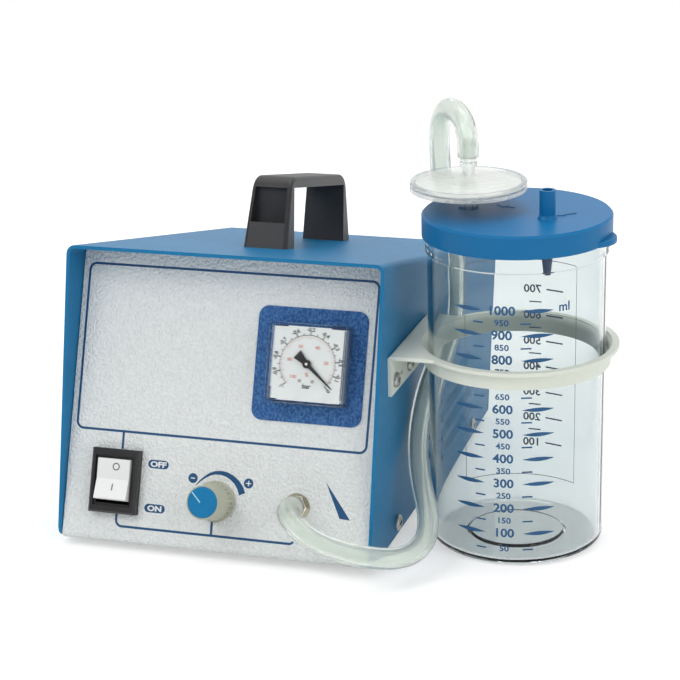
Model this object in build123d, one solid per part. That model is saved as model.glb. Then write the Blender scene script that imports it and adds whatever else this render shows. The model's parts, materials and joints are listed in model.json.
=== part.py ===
from build123d import *
from math import cos, pi, radians, sin, tan
import os

# Vacuum aspirator with a collection jar beside its case.
# Millimetres. X to the right, Y to the back, Z up from the bench.
# The pieces are drawn from the case's left front bottom corner, and moved at the
# end so that the origin is the middle of the footprint on the bench.

# Case
case_width = 187.0
case_lean = 13.0
front_edge_length = 168.5
top_length = 257.5
sheet = 2.0
bend_radius = 5.0
foot_height = 4.5
foot_radius = 9.0
foot_inset = 30.0
panel_rake = 20.5
panel_gap = 0.5
rear_inset = 3.0
side_flange_height = 16.0
cover_screw_height = 12.0
cover_screw_front = 53.0
cover_screw_back = 215.0
louvre_count = 4
louvre_pitch = 12.0
louvre_length = 84.0
louvre_slot = 3.0
louvre_start = 122.0
louvre_height = 20.0

# Handle, placed along the sloping top
handle_start = 73.0
handle_length = 127.0
handle_leg = 14.5
handle_width = 24.0
handle_flare = 1.5
handle_shift = -0.8
handle_edge = 2.5
handle_height = 42.0
handle_grip = 6.5
handle_taper = 10.0
handle_wall = 2.4
handle_corner = 11.0
handle_pocket_low = 15.0
handle_pocket_arch = 30.0
handle_screw_radius = 2.5
handle_screw_depth = 9.0

# Front panel controls, measured along the panel from its bottom fold
switch_u = 33.5
switch_v = 36.0
switch_width = 28.5
switch_height = 36.5
switch_lip = 6.0
switch_step = 1.4
switch_depth = 22.0
rocker_width = 19.5
rocker_height = 24.5
rocker_tilt = 7.0
rocker_gap = 0.5
knob_u = case_width / 2 + 0.5
knob_v = 30.1
knob_radius = 10.2
knob_base_radius = 11.5
knob_depth = 21.0
knob_gap = 0.8
knob_flutes = 24
knob_flute_radius = 0.8
knob_cap_radius = 8.75
knob_cap_height = 2.4
shaft_radius = 3.0
shaft_gap = 0.05
valve_size = 22.0
valve_depth = 26.0
valve_spigot_drop = 18.0
valve_spigot_length = 10.0
gauge_u = case_width - 42.9
gauge_v = 110.7
gauge_size = 45.0
gauge_depth = 14.5
gauge_wall = 1.6
gauge_flange = 8.4
gauge_plate = 64.0
gauge_plate_u = case_width - 44.4
gauge_plate_v = 109.9
gauge_plate_thickness = 0.6
gauge_plate_corner = 6.0
gauge_case_radius = 20.0
gauge_case_depth = 22.0
gauge_can_wall = 3.0
gauge_dial_hollow = 6.0
gauge_stem_radius = 5.0
gauge_stem_length = 14.0
gauge_spigot_length = 12.0
dial_gap = 0.3
dial_side = gauge_size - 2 * gauge_wall - 2 * dial_gap
dial_thickness = 0.8
dial_corner = 1.5
needle_length = 19.8
needle_tail = 7.9
needle_paddle = 2.9
needle_angle = -40.5
dial_pin_x = 3.7
dial_pin_y = -9.4
inlet_u = case_width - 45.2
inlet_v = 31.5
inlet_nut = 12.0
inlet_nut_height = 4.0
inlet_flange_radius = 7.6
inlet_flange_height = 1.2
nipple_radius = 3.0
nipple_barb_radius = 3.45
nipple_bore = 2.0
nipple_reach = 15.0
nipple_barb_length = 3.2
inlet_thread_radius = 5.0
inlet_thread = 16.0
inlet_spigot = 28.0

# Jar, bracket and lid
jar_offset = 62.3
jar_y = 84.0
jar_base_radius = 48.8
jar_top_radius = 49.8
jar_collar_radius = 50.6
jar_collar_height = 9.0
jar_wall = 2.8
jar_height = 187.0
jar_foot_radius = 28.4
jar_foot_rise = 1.2
jar_corner = 4.5
ring_rim_radius = 57.0
ring_gap = 0.6
ring_height = 116.0
ring_sleeve = 11.0
ring_bend = 2.6
bracket_front = 40.0
bracket_back = 120.0
bracket_drop = 23.4
bracket_screw_front = 48.0
bracket_screw_back = 76.0
bracket_screw_drop = 16.0
bracket_pin_y = 61.0
bracket_pin_radius = 1.5
bracket_hole_radius = 1.8
lid_radius = 52.4
lid_top = 190.4
lid_skirt = 12.7
lid_plate = 2.4
lid_gap = 0.35
lid_plug = 6.0
lid_tab_angle = -8.0
lid_tab_radius = 16.0
lid_tab_reach = 4.2
lid_tab_thickness = 3.0
port_x = 19.2
port_y = -10.8
port_radius = 4.4
port_bore = 2.9
port_length = 15.8
port_tail = 9.0
filter_x = -27.4
filter_y = 0.4
filter_radius = 32.3
filter_height = 204.0
filter_rim_drop = 2.9
filter_rim_rise = 2.4
filter_cone_rise = 2.6
filter_nipple_top = 229.5
filter_nipple_radius = 2.9
filter_barb_radius = 3.45
filter_bore = 1.9
filter_seat_radius = 5.6
filter_wall = 1.6
filter_membrane_thickness = 1.6
filter_ring_radius = 5.1
filter_stem_radius = 3.6

# Hose, from the inlet nipple to the filter
hose_radius = 6.0
hose_bore = 3.5
hose_points = [
    (141.8, 5.7, 36.0),
    (141.8, -15.7, 44.0),
    (159.5, -24.5, 31.5),
    (182.5, -18.5, 22.0),
    (205.0, -8.0, 17.0),
    (214.3, 12.0, 17.5),
    (211.0, 36.0, 24.0),
    (199.5, 58.0, 38.0),
    (193.5, 74.0, 55.0),
    (193.9, 92.0, 79.0),
    (198.7, 113.0, 97.0),
    (199.3, 135.5, 114.5),
    (200.3, 128.0, 150.0),
    (197.0, 122.0, 190.0),
    (195.0, 122.0, 226.7),
    (202.6, 111.6, 240.6),
    (213.6, 96.0, 241.8),
    (221.9, 84.4, 232.6),
    (221.9, 84.4, 219.5),
]

# Pump set inside the case
pump_plate_size = (128.0, 118.0)
pump_plate_x = case_width / 2 + 1.5
pump_plate_y = 165.0
mount_height = 12.0
mount_radius = 7.0
motor_axis_height = 68.0
stator_radius = 40.0
stator_bore = 22.0
stator_length = 34.0
air_gap = 0.5
rotor_shaft_radius = 4.0
coil_height = 11.0
fan_radius = 32.0
fan_blades = 9
fan_depth = 12.0
bearing_radius = 11.0
bearing_length = 7.0
pump_body_width = 36.0
cylinder_radius = 19.0
pump_rise = 16.0
pump_head_height = 15.0
pump_fins = 5
pump_fin_pitch = 9.0
pump_fin_slot = 3.0
pump_fin_floor = 9.0
spigot_rise = 4.5
spigot_length = 11.0
shield_gap = 1.5
shield_window_radius = 7.0
tube_radius = 4.0
tube_bore = 2.5
tube_seat = 3.0
suction_lead = 25.0
suction_bend = 14.0
exhaust_lead = 19.0
exhaust_bend = 8.0

# Rear panel fittings
socket_u = 45.0
socket_v = 40.0
socket_width = 28.0
socket_height = 24.0
silencer_u = case_width - 45.0
silencer_v = 62.0
silencer_radius = 8.0
silencer_length = 20.0
silencer_thread = 8.0
silencer_spigot = 20.0

# Places worked out from the sizes above
front_top_y = front_edge_length * sin(radians(case_lean))
front_top_z = foot_height + front_edge_length * cos(radians(case_lean))
rear_top_y = front_top_y + top_length * cos(radians(case_lean))
rear_top_z = front_top_z - top_length * sin(radians(case_lean))
rear_bottom_y = rear_top_y - (rear_top_z - foot_height) * tan(radians(case_lean))
jar_x = case_width + jar_offset
handle_x = case_width / 2 + handle_shift
ring_sleeve_radius = jar_top_radius + ring_gap + sheet
lid_bottom = lid_top - lid_skirt

top_frame = Plane(
    origin=(0, front_top_y, front_top_z),
    x_dir=(1, 0, 0),
    z_dir=(0, sin(radians(case_lean)), cos(radians(case_lean))),
)
panel_frame = Plane(
    origin=(0, 0, foot_height),
    x_dir=(1, 0, 0),
    z_dir=(0, -cos(radians(panel_rake)), sin(radians(panel_rake))),
)
rear_frame = Plane(
    origin=(case_width, rear_bottom_y - rear_inset, foot_height),
    x_dir=(-1, 0, 0),
    z_dir=(0, cos(radians(case_lean)), -sin(radians(case_lean))),
)
jar_axis = Pos(jar_x, jar_y, 0)
filter_axis = Pos(jar_x + filter_x, jar_y + filter_y, 0)
parts = {}


def keep_low(solid):
    """Cuts away what reaches below the underside of the case."""
    below = Pos(case_width / 2, rear_top_y / 2, foot_height - 200) * Box(600, 900, 400)
    return solid - below


def tube_of(outer, inner, length):
    """A round tube that stands on the XY plane."""
    wall = Cylinder(outer, length, align=(Align.CENTER, Align.CENTER, Align.MIN))
    bore = Cylinder(inner, length, align=(Align.CENTER, Align.CENTER, Align.MIN))
    return wall - bore


def rod(radius, length):
    """A round rod that stands on the XY plane."""
    return Cylinder(radius, length, align=(Align.CENTER, Align.CENTER, Align.MIN))


def block(width, depth, height):
    """A block that stands on the XY plane, centred in X and Y."""
    return Box(width, depth, height, align=(Align.CENTER, Align.CENTER, Align.MIN))


def revolve_points(points):
    """A solid turned about Z from (radius, height) points."""
    outline = make_face(Polyline(*[(r, 0, z) for r, z in points], close=True))
    return revolve(outline, Axis.Z)


def pan_screw(head_radius, head_height, shank_radius, shank_length):
    """A pan-head screw with a cross recess, its head above the XY plane."""
    head = rod(head_radius, head_height)
    head = fillet(head.edges().group_by(Axis.Z)[-1], head_height * 0.6)
    shank = Pos(0, 0, -shank_length) * rod(shank_radius, shank_length)
    slot = Pos(0, 0, head_height * 0.45) * block(head_radius * 1.1, head_radius * 0.28, head_height)
    cross = Rot(0, 0, 90) * slot
    return head + shank - slot - cross


def folded_profile(corners, radius, thickness):
    """A bent sheet's section, its outer line given by corners in the YZ plane."""
    line = FilletPolyline(*[(0, y, z) for y, z in corners], radius=radius)
    frame = Plane(origin=(0, 0, 0), x_dir=(0, 1, 0), z_dir=(1, 0, 0))
    local = frame.to_local_coords(line)
    band = offset(local, amount=thickness, side=Side.LEFT, closed=True)
    return frame * make_face(band)


def louvre_places():
    """The heights of the side louvres above the case's underside."""
    return [foot_height + louvre_height + i * louvre_pitch for i in range(louvre_count)]


def side_screw_places():
    """The two cover screws of one side, in the YZ plane."""
    return [(cover_screw_front, cover_screw_height), (cover_screw_back, cover_screw_height)]


def make_cover():
    depth = front_edge_length + sheet
    outer = Box(case_width, top_length, depth, align=(Align.MIN, Align.MIN, Align.MAX))
    outer = fillet(outer.edges().filter_by(Axis.Y).group_by(Axis.Z)[-1], bend_radius)
    inner_width = case_width - 2 * sheet
    inner = Pos(sheet, -1, -sheet) * Box(
        inner_width, top_length + 2, depth, align=(Align.MIN, Align.MIN, Align.MAX)
    )
    inner = fillet(inner.edges().filter_by(Axis.Y).group_by(Axis.Z)[-1], bend_radius - sheet)
    cover = keep_low(top_frame * (outer - inner))
    front_low = cover.edges().filter_by(Axis.X).filter_by_position(Axis.Z, 0, foot_height + 1)
    cover = fillet(front_low.sort_by(Axis.Y)[:2], 6)
    for side in (0, case_width):
        for y, z in side_screw_places():
            cover -= Pos(side, y, z) * Rot(0, 90, 0) * Cylinder(2.1, 3 * sheet)
    for y in (bracket_screw_front, bracket_screw_back):
        cover -= bracket_screw_place(y) * Cylinder(bracket_hole_radius, 3 * sheet)
    for s in (handle_start + handle_leg / 2, handle_start + handle_length - handle_leg / 2):
        cover -= top_frame * Pos(handle_x, s, 0) * Cylinder(handle_screw_radius + 0.2, 3 * sheet)
    for side, out in ((0, -1), (case_width, 1)):
        for z in louvre_places():
            middle = louvre_start + louvre_length / 2
            slot = Pos(side, middle, z) * Box(3 * sheet, louvre_length, louvre_slot)
            cover -= slot
            cover += louvre_hood(side, out, middle, z)
    return cover


def louvre_hood(side, out, middle, z):
    """The pressed hood over one louvre slot."""
    rise = louvre_slot
    low = z - louvre_slot / 2
    high = z + louvre_slot / 2
    face = make_face(
        Polyline(
            (side, 0, high + rise),
            (side + out * rise, 0, high - 0.5),
            (side + out * rise, 0, low),
            (side + out * (rise - 0.9), 0, low),
            (side + out * (rise - 0.9), 0, high - 0.9),
            (side, 0, high + rise - 1.8),
            close=True,
        )
    )
    return Pos(0, middle, 0) * extrude(face, louvre_length / 2, both=True)


def panel_length():
    """The front panel's length up to the cover's underside."""
    rise = front_top_z - foot_height + (front_top_y * tan(radians(case_lean)))
    rise -= sheet / cos(radians(case_lean))
    slope = cos(radians(panel_rake)) + sin(radians(panel_rake)) * tan(radians(case_lean))
    return rise / slope - panel_gap


def rear_length():
    """The rear panel's length up to the cover's underside."""
    full = (rear_top_z - foot_height) / cos(radians(case_lean))
    return full - sheet - panel_gap + rear_inset * tan(radians(case_lean))


def inside_envelope():
    """The room inside the cover, less the gap, with its rounded top corners."""
    width = case_width - 2 * sheet - 2 * panel_gap
    room = Box(width, 2 * top_length, 2 * front_edge_length, align=(Align.CENTER, Align.CENTER, Align.MAX))
    room = fillet(room.edges().filter_by(Axis.Y).group_by(Axis.Z)[-1], bend_radius - sheet)
    return top_frame * Pos(case_width / 2, top_length / 2, -sheet) * room


def make_chassis():
    front = panel_length()
    back = rear_length()
    corners = [
        (front * sin(radians(panel_rake)), foot_height + front * cos(radians(panel_rake))),
        (0, foot_height),
        (rear_bottom_y - rear_inset, foot_height),
        (
            rear_bottom_y - rear_inset + back * sin(radians(case_lean)),
            foot_height + back * cos(radians(case_lean)),
        ),
    ]
    section = folded_profile(corners, sheet * 1.5, sheet)
    width = case_width - 2 * sheet - 2 * panel_gap
    chassis = Pos(sheet + panel_gap, 0, 0) * extrude(section, width, dir=(1, 0, 0))
    chassis &= inside_envelope()
    flange_length = rear_bottom_y - 2 * foot_inset
    for x in (sheet + panel_gap, case_width - 2 * sheet - panel_gap):
        flange = Pos(x, foot_inset, foot_height + sheet) * Box(
            sheet,
            flange_length,
            side_flange_height - sheet,
            align=(Align.MIN, Align.MIN, Align.MIN),
        )
        for y, z in side_screw_places():
            flange -= Pos(x, y, z) * Rot(0, 90, 0) * Cylinder(2.1, 4 * sheet)
        chassis += flange
    chassis -= panel_frame * Pos(switch_u, switch_v, 0) * Box(
        switch_width - 4, switch_height - 4, 4 * sheet
    )
    chassis -= panel_frame * Pos(knob_u, knob_v, 0) * Cylinder(5.2, 4 * sheet)
    chassis -= panel_frame * Pos(inlet_u, inlet_v, 0) * Cylinder(5.2, 4 * sheet)
    chassis -= panel_frame * Pos(gauge_u, gauge_v, 0) * Cylinder(gauge_case_radius + 0.3, 4 * sheet)
    chassis -= rear_frame * Pos(socket_u, socket_v, 0) * Box(
        socket_width + 0.6, socket_height + 0.6, 4 * sheet
    )
    chassis -= rear_frame * Pos(silencer_u, silencer_v, 0) * Cylinder(5.2, 4 * sheet)
    for place in foot_places():
        chassis -= place * Cylinder(2.3, 6 * sheet)
    return chassis


def foot_places():
    """The four feet on the case's underside."""
    xs = (foot_inset, case_width - foot_inset)
    ys = (foot_inset, rear_bottom_y - foot_inset)
    return [Pos(x, y, foot_height) for y in ys for x in xs]


def make_foot(place):
    foot = Pos(0, 0, -foot_height) * Cone(
        foot_radius - 1, foot_radius, foot_height, align=(Align.CENTER, Align.CENTER, Align.MIN)
    )
    plug = rod(2.1, sheet + 2.5)
    recess = Pos(0, 0, -foot_height) * rod(3.2, 1.8)
    return place * (foot + plug - recess)


def handle_side():
    """The handle's outline seen from the side, on its foot, as a face in the YZ plane."""
    half = handle_length / 2
    inner = half - handle_leg
    outline = Polyline(
        (-half, 0),
        (-half + handle_taper, handle_height),
        (half - handle_taper, handle_height),
        (half, 0),
        (inner, 0),
        (inner, handle_height - handle_grip),
        (-inner, handle_height - handle_grip),
        (-inner, 0),
        close=True,
    )
    return Plane.YZ * make_face(outline)


def handle_front(narrower=0.0):
    """The handle's outline seen from the front, wider at its foot, as a face in the XZ plane."""
    low = handle_width / 2 + handle_flare - narrower
    high = handle_width / 2 - narrower
    outline = Polyline((-low, 0), (-high, handle_height), (high, handle_height), (low, 0), close=True)
    return Plane.XZ * make_face(outline)


def handle_pocket(turn):
    """The open pocket in one end of the handle, its top arched."""
    reach = handle_length / 2 - handle_leg + handle_wall
    depth = handle_leg
    room = extrude(handle_front(handle_wall), handle_length, both=True)
    span = Pos(0, turn * (reach + depth), handle_pocket_low) * block(
        2 * handle_width, 2 * depth, handle_height - handle_grip - handle_pocket_low
    )
    arch = Pos(0, 0, handle_height - handle_wall - handle_pocket_arch) * Rot(90, 0, 0) * Cylinder(
        handle_pocket_arch, 2 * handle_length
    )
    return room & span & arch


def make_handle():
    body = extrude(handle_side(), handle_width, both=True) & extrude(handle_front(), handle_length, both=True)
    top_corners = body.edges().filter_by(Axis.X).group_by(Axis.Z)[-1]
    body = fillet(top_corners, handle_corner)
    rim = body.faces().sort_by(Axis.Z)[-1].edges().filter_by(Axis.Y)
    body = fillet(rim, handle_edge)
    for turn in (-1, 1):
        body -= handle_pocket(turn)
        seat = turn * (handle_length - handle_leg) / 2
        body -= Pos(0, seat, -1) * rod(handle_screw_radius, handle_screw_depth)
    return top_frame * Pos(handle_x, handle_start + handle_length / 2, 0) * body


def make_handle_screw(s):
    screw = Rot(180, 0, 0) * pan_screw(4.6, 2.6, handle_screw_radius - 0.05, sheet + 7)
    return top_frame * Pos(handle_x, s, -sheet) * screw


def make_cover_screw(side, y, z):
    turn = 90 if side > 0 else -90
    return Pos(side, y, z) * Rot(0, turn, 0) * pan_screw(4.6, 2.4, 1.9, 2 * sheet + 3)


def make_switch_housing():
    lip = block(switch_width, switch_height, switch_lip)
    lip = chamfer(lip.edges().group_by(Axis.Z)[-1], 1.2)
    lip -= Pos(0, 0, -1) * block(rocker_width + 2 * rocker_gap, rocker_height + 2 * rocker_gap, 20)
    step = rocker_width + 2 * rocker_gap + 2 * switch_step
    lip -= Pos(0, 0, switch_lip - switch_step) * block(step, step + rocker_height - rocker_width, 20)
    well = Pos(0, 0, -switch_depth) * block(switch_width - 4.4, switch_height - 4.4, switch_depth)
    well -= Pos(0, 0, 8 - switch_depth) * block(
        rocker_width + 2 * rocker_gap, rocker_height + 2 * rocker_gap, 2 * switch_depth
    )
    blades = [Pos(0, y, -switch_depth - 8) * block(6.3, 0.8, 8) for y in (-8, 8)]
    return panel_frame * Pos(switch_u, switch_v, 0) * (lip + well + blades)


def rocker_centre():
    """The rocker's pivot, in the front panel's frame."""
    return Pos(switch_u, switch_v, -2)


def make_rocker():
    half = rocker_height / 2 - 0.6
    reach = switch_lip + 4.5
    outline = Polyline(
        (-half, 2),
        (-half, reach),
        (0, reach - 1.6),
        (half, reach),
        (half, 2),
        (0, -8),
        close=True,
    )
    body = extrude(Plane.YZ * make_face(outline), rocker_width / 2, both=True)
    body = fillet(body.edges().filter_by(Axis.X).group_by(Axis.Z)[-1], 0.8)
    return panel_frame * rocker_centre() * Rot(-rocker_tilt, 0, 0) * body


def make_knob_body():
    base = rod(knob_base_radius, 2.0)
    taper = Pos(0, 0, 2.0) * Cone(
        knob_radius + 0.8, knob_radius - 0.8, knob_depth - 2.0, align=(Align.CENTER, Align.CENTER, Align.MIN)
    )
    body = base + taper
    groove_circle = PolarLocations(knob_radius + 0.7, knob_flutes)
    body -= [place * Pos(0, 0, 3.5) * rod(knob_flute_radius, knob_depth) for place in groove_circle]
    body -= rod(shaft_radius, knob_depth - 4)
    body -= Pos(0, 0, knob_depth - knob_cap_height + 0.6) * rod(knob_cap_radius, 4)
    return panel_frame * Pos(knob_u, knob_v, knob_gap) * body


def make_knob_cap():
    cap = rod(knob_cap_radius - 0.05, knob_cap_height)
    cap = fillet(cap.edges().group_by(Axis.Z)[-1], 0.8)
    seat = knob_gap + knob_depth - knob_cap_height + 0.6
    return panel_frame * Pos(knob_u, knob_v, seat) * cap


def make_regulator_shaft():
    shaft = Pos(0, 0, -10) * rod(shaft_radius - 0.05, knob_gap + knob_depth + 4)
    return panel_frame * Pos(knob_u, knob_v, 0) * shaft


def make_regulator_valve():
    body = Pos(0, 0, -sheet - valve_depth) * block(valve_size, valve_size, valve_depth)
    thread = Pos(0, 0, -sheet) * rod(5.0, sheet)
    valve = body + thread
    valve -= Pos(0, 0, -12) * rod(shaft_radius + shaft_gap, 20)
    for turn in (0, 180):
        side = Rot(0, 0, turn) * Pos(valve_size / 2, 0, -sheet - valve_spigot_drop) * Rot(0, 90, 0)
        valve += side * rod(tube_bore, valve_spigot_length)
    return panel_frame * Pos(knob_u, knob_v, 0) * valve


def make_gauge_plate():
    plate = block(gauge_plate, gauge_plate, gauge_plate_thickness)
    plate = fillet(plate.edges().filter_by(Axis.Z), gauge_plate_corner)
    plate = Pos(gauge_plate_u, gauge_plate_v, 0) * plate
    plate -= Pos(gauge_u, gauge_v, 0) * Cylinder(gauge_case_radius + 0.3, 4 * sheet)
    return panel_frame * plate


def make_gauge_case():
    can = Pos(0, 0, -gauge_case_depth) * rod(gauge_case_radius, gauge_case_depth + gauge_plate_thickness)
    can = chamfer(can.edges().group_by(Axis.Z)[0], 2)
    flange = Pos(0, 0, gauge_plate_thickness) * block(dial_side, dial_side, gauge_flange)
    flange = fillet(flange.edges().filter_by(Axis.Z), 2)
    stem_end = -gauge_case_depth - gauge_stem_length
    stem = Pos(0, 0, stem_end) * rod(gauge_stem_radius, gauge_stem_length)
    spigot = Pos(0, 0, stem_end - gauge_spigot_length) * rod(tube_bore, gauge_spigot_length)
    hollow = Pos(0, 0, -gauge_dial_hollow) * rod(gauge_case_radius - gauge_can_wall, 20)
    body = can + flange + stem + spigot - hollow
    return panel_frame * Pos(gauge_u, gauge_v, 0) * body


def make_gauge_dial():
    dial = block(dial_side, dial_side, dial_thickness)
    dial = fillet(dial.edges().filter_by(Axis.Z), dial_corner)
    dial -= rod(1.6, 3)
    pins = [Pos(x, dial_pin_y, dial_thickness) * rod(0.9, 0.4) for x in (-dial_pin_x, dial_pin_x)]
    return panel_frame * Pos(gauge_u, gauge_v, dial_level()) * (dial + pins)


def dial_level():
    """The dial's underside above the panel."""
    return gauge_plate_thickness + gauge_flange


def make_gauge_needle():
    hub = rod(2.4, 1.2)
    pin = Pos(0, 0, -dial_thickness - 2) * rod(1.5, dial_thickness + 2)
    blade = Polyline(
        (-needle_tail, -needle_paddle),
        (-needle_tail, needle_paddle),
        (0, 1.2),
        (needle_length, 0.25),
        (needle_length, -0.25),
        (0, -1.2),
        close=True,
    )
    pointer = Pos(0, 0, 0.3) * extrude(make_face(blade), 0.5)
    needle = hub + pin + Rot(0, 0, needle_angle) * pointer
    level = dial_level() + dial_thickness + 0.6
    return panel_frame * Pos(gauge_u, gauge_v, level) * needle


def make_gauge_crystal():
    """A clear cap whose skirt goes down round the gauge's case to the plate."""
    shell = block(gauge_size, gauge_size, gauge_depth - gauge_plate_thickness)
    shell = fillet(shell.edges().filter_by(Axis.Z), 1.6)
    shell = chamfer(shell.edges().group_by(Axis.Z)[-1], 0.8)
    inside = gauge_size - 2 * gauge_wall
    shell -= block(inside, inside, gauge_depth - gauge_plate_thickness - gauge_wall)
    return panel_frame * Pos(gauge_u, gauge_v, gauge_plate_thickness) * shell



def make_inlet_nipple():
    stem_length = inlet_thread + sheet + inlet_flange_height
    stem = Pos(0, 0, -sheet - inlet_thread) * rod(inlet_thread_radius, stem_length)
    neck = rod(nipple_radius, nipple_reach)
    last = nipple_reach - nipple_barb_length / 2
    barbs = [
        Pos(0, 0, z) * Cone(nipple_barb_radius, nipple_radius, nipple_barb_length) for z in (last - 4.4, last)
    ]
    inner_spigot = Pos(0, 0, -sheet - inlet_spigot) * rod(tube_bore, inlet_spigot)
    nipple = stem + neck + barbs + inner_spigot
    nipple -= Pos(0, 0, -2 * inlet_spigot) * rod(nipple_bore, 4 * inlet_spigot)
    return panel_frame * Pos(inlet_u, inlet_v, 0) * nipple


def make_inlet_nut():
    washer = rod(inlet_flange_radius, inlet_flange_height)
    nut = Pos(0, 0, inlet_flange_height) * extrude(
        RegularPolygon(inlet_nut / 2, 6, major_radius=False), inlet_nut_height
    )
    nut = chamfer(nut.edges().group_by(Axis.Z)[-1], 0.6)
    body = washer + nut - Cylinder(inlet_thread_radius + shaft_gap, 40)
    return panel_frame * Pos(inlet_u, inlet_v, 0) * body


def bracket_screw_place(y):
    """A bracket screw in the case's right side."""
    return Pos(case_width, y, ring_height - bracket_screw_drop) * Rot(0, 90, 0)


def make_bracket():
    inner = ring_sleeve_radius - sheet
    plate_length = jar_offset + ring_rim_radius * 0.2
    depth = bracket_back - bracket_front
    plate = Pos(case_width, bracket_front, ring_height - sheet) * Box(
        plate_length, depth, sheet, align=(Align.MIN, Align.MIN, Align.MIN)
    )
    plate += jar_axis * Pos(0, 0, ring_height - sheet) * rod(ring_rim_radius, sheet)
    flange = Pos(case_width, bracket_front, ring_height - bracket_drop) * Box(
        sheet, depth, bracket_drop, align=(Align.MIN, Align.MIN, Align.MIN)
    )
    sheet_metal = plate + flange
    corner = sheet_metal.edges().filter_by(Axis.Y).filter_by_position(Axis.Z, ring_height - 0.01, ring_height)
    sheet_metal = fillet(corner.sort_by(Axis.X)[0], sheet)
    sheet_metal -= jar_axis * Pos(0, 0, ring_height) * Cylinder(inner + ring_bend, 4 * sheet)
    bracket = sheet_metal + collar(inner)
    for y in (bracket_screw_front, bracket_screw_back):
        bracket -= bracket_screw_place(y) * Cylinder(bracket_hole_radius, 6 * sheet)
    bracket -= bracket_screw_place(bracket_pin_y) * Cylinder(bracket_pin_radius, 6 * sheet)
    return bracket


def collar(inner):
    """The drawn sleeve of the ring, with a round shoulder under the rim."""
    outer = inner + sheet
    shoulder = outer + ring_bend
    low = ring_height - ring_sleeve
    bend_low = ring_height - sheet - ring_bend
    with BuildSketch(Plane.XZ) as section:
        with BuildLine():
            Line((inner, low), (inner, bend_low))
            RadiusArc((inner, bend_low), (shoulder, ring_height), ring_bend + sheet)
            Line((shoulder, ring_height), (shoulder, ring_height - sheet))
            RadiusArc((shoulder, ring_height - sheet), (outer, bend_low), -ring_bend)
            Line((outer, bend_low), (outer, low))
            Line((outer, low), (inner, low))
        make_face()
    return jar_axis * revolve(section.sketch, Axis.Z)


def make_bracket_screw(y):
    return bracket_screw_place(y) * Pos(0, 0, sheet) * pan_screw(4.2, 2.3, 1.7, 2 * sheet + 3)


def jar_radius_at(z):
    """The jar's outer radius on its tapered wall."""
    return jar_base_radius + (jar_top_radius - jar_base_radius) * z / jar_height


def make_jar():
    low = jar_corner
    collar_low = lid_bottom - jar_collar_height
    outer_low = jar_radius_at(low)
    outer_high = jar_radius_at(collar_low)
    floor = jar_foot_rise
    with BuildSketch(Plane.XZ) as section:
        with BuildLine():
            Polyline(
                (0, floor),
                (jar_foot_radius - 2, floor),
                (jar_foot_radius - 1, 0),
                (jar_base_radius - jar_corner, 0),
            )
            TangentArc(
                (jar_base_radius - jar_corner, 0), (outer_low, low), tangent=(1, 0.02)
            )
            Polyline(
                (outer_low, low),
                (outer_high, collar_low),
                (jar_collar_radius, collar_low + 1),
                (jar_collar_radius, jar_height),
                (jar_collar_radius - jar_wall, jar_height),
                (outer_high - jar_wall, collar_low - 1),
                (outer_low - jar_wall, low + 1),
            )
            TangentArc(
                (outer_low - jar_wall, low + 1),
                (jar_base_radius - jar_corner, jar_wall),
                tangent=(0, -1),
            )
            Polyline(
                (jar_base_radius - jar_corner, jar_wall),
                (jar_foot_radius, jar_wall),
                (jar_foot_radius - 2, floor + jar_wall),
                (0, floor + jar_wall),
                (0, floor),
            )
        make_face()
    return jar_axis * revolve(section.sketch, Axis.Z)


def make_lid():
    skirt_inner = jar_collar_radius + lid_gap
    plug_outer = jar_collar_radius - jar_wall - lid_gap
    plug_inner = plug_outer - 2.0
    under = lid_top - lid_plate
    points = [
        (0, lid_top),
        (lid_radius - 1.2, lid_top),
        (lid_radius, lid_top - 1.2),
        (lid_radius, lid_bottom),
        (skirt_inner, lid_bottom),
        (skirt_inner, under),
        (plug_outer, under),
        (plug_outer, under - lid_plug),
        (plug_inner, under - lid_plug),
        (plug_inner, under),
        (0, under),
    ]
    lid = revolve_points(points)
    tab_middle = lid_radius + lid_tab_reach - lid_tab_radius
    tab = Rot(0, 0, lid_tab_angle) * Pos(tab_middle, 0, lid_bottom) * rod(lid_tab_radius, lid_tab_thickness)
    tab = fillet(tab.edges().group_by(Axis.Z)[-1], 1.0)
    tab -= Pos(0, 0, lid_bottom) * rod((lid_radius + skirt_inner) / 2, lid_tab_thickness)
    port = Pos(port_x, port_y, lid_top) * rod(port_radius, port_length)
    flare = Pos(port_x, port_y, lid_top) * Cone(
        port_radius + 1.2, port_radius, 2.0, align=(Align.CENTER, Align.CENTER, Align.MIN)
    )
    tail = Pos(port_x, port_y, under - port_tail) * Cone(
        port_radius - 0.9, port_radius, port_tail, align=(Align.CENTER, Align.CENTER, Align.MIN)
    )
    boss = Pos(filter_x, filter_y, under - 6) * rod(filter_seat_radius + 2.2, 6 + lid_plate)
    lid += [tab, port, flare, tail, boss]
    lid -= Pos(port_x, port_y, under - port_tail - 1) * rod(port_bore, 60)
    lid -= Pos(filter_x, filter_y, under - 7) * rod(filter_seat_radius + 0.05, 60)
    return jar_axis * lid


def make_lid_gasket():
    ring_low = jar_height
    under = lid_top - lid_plate
    outer = jar_collar_radius + lid_gap - 0.3
    inner = jar_collar_radius - jar_wall + 0.2
    return jar_axis * Pos(0, 0, ring_low) * tube_of(outer, inner, under - ring_low)


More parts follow.
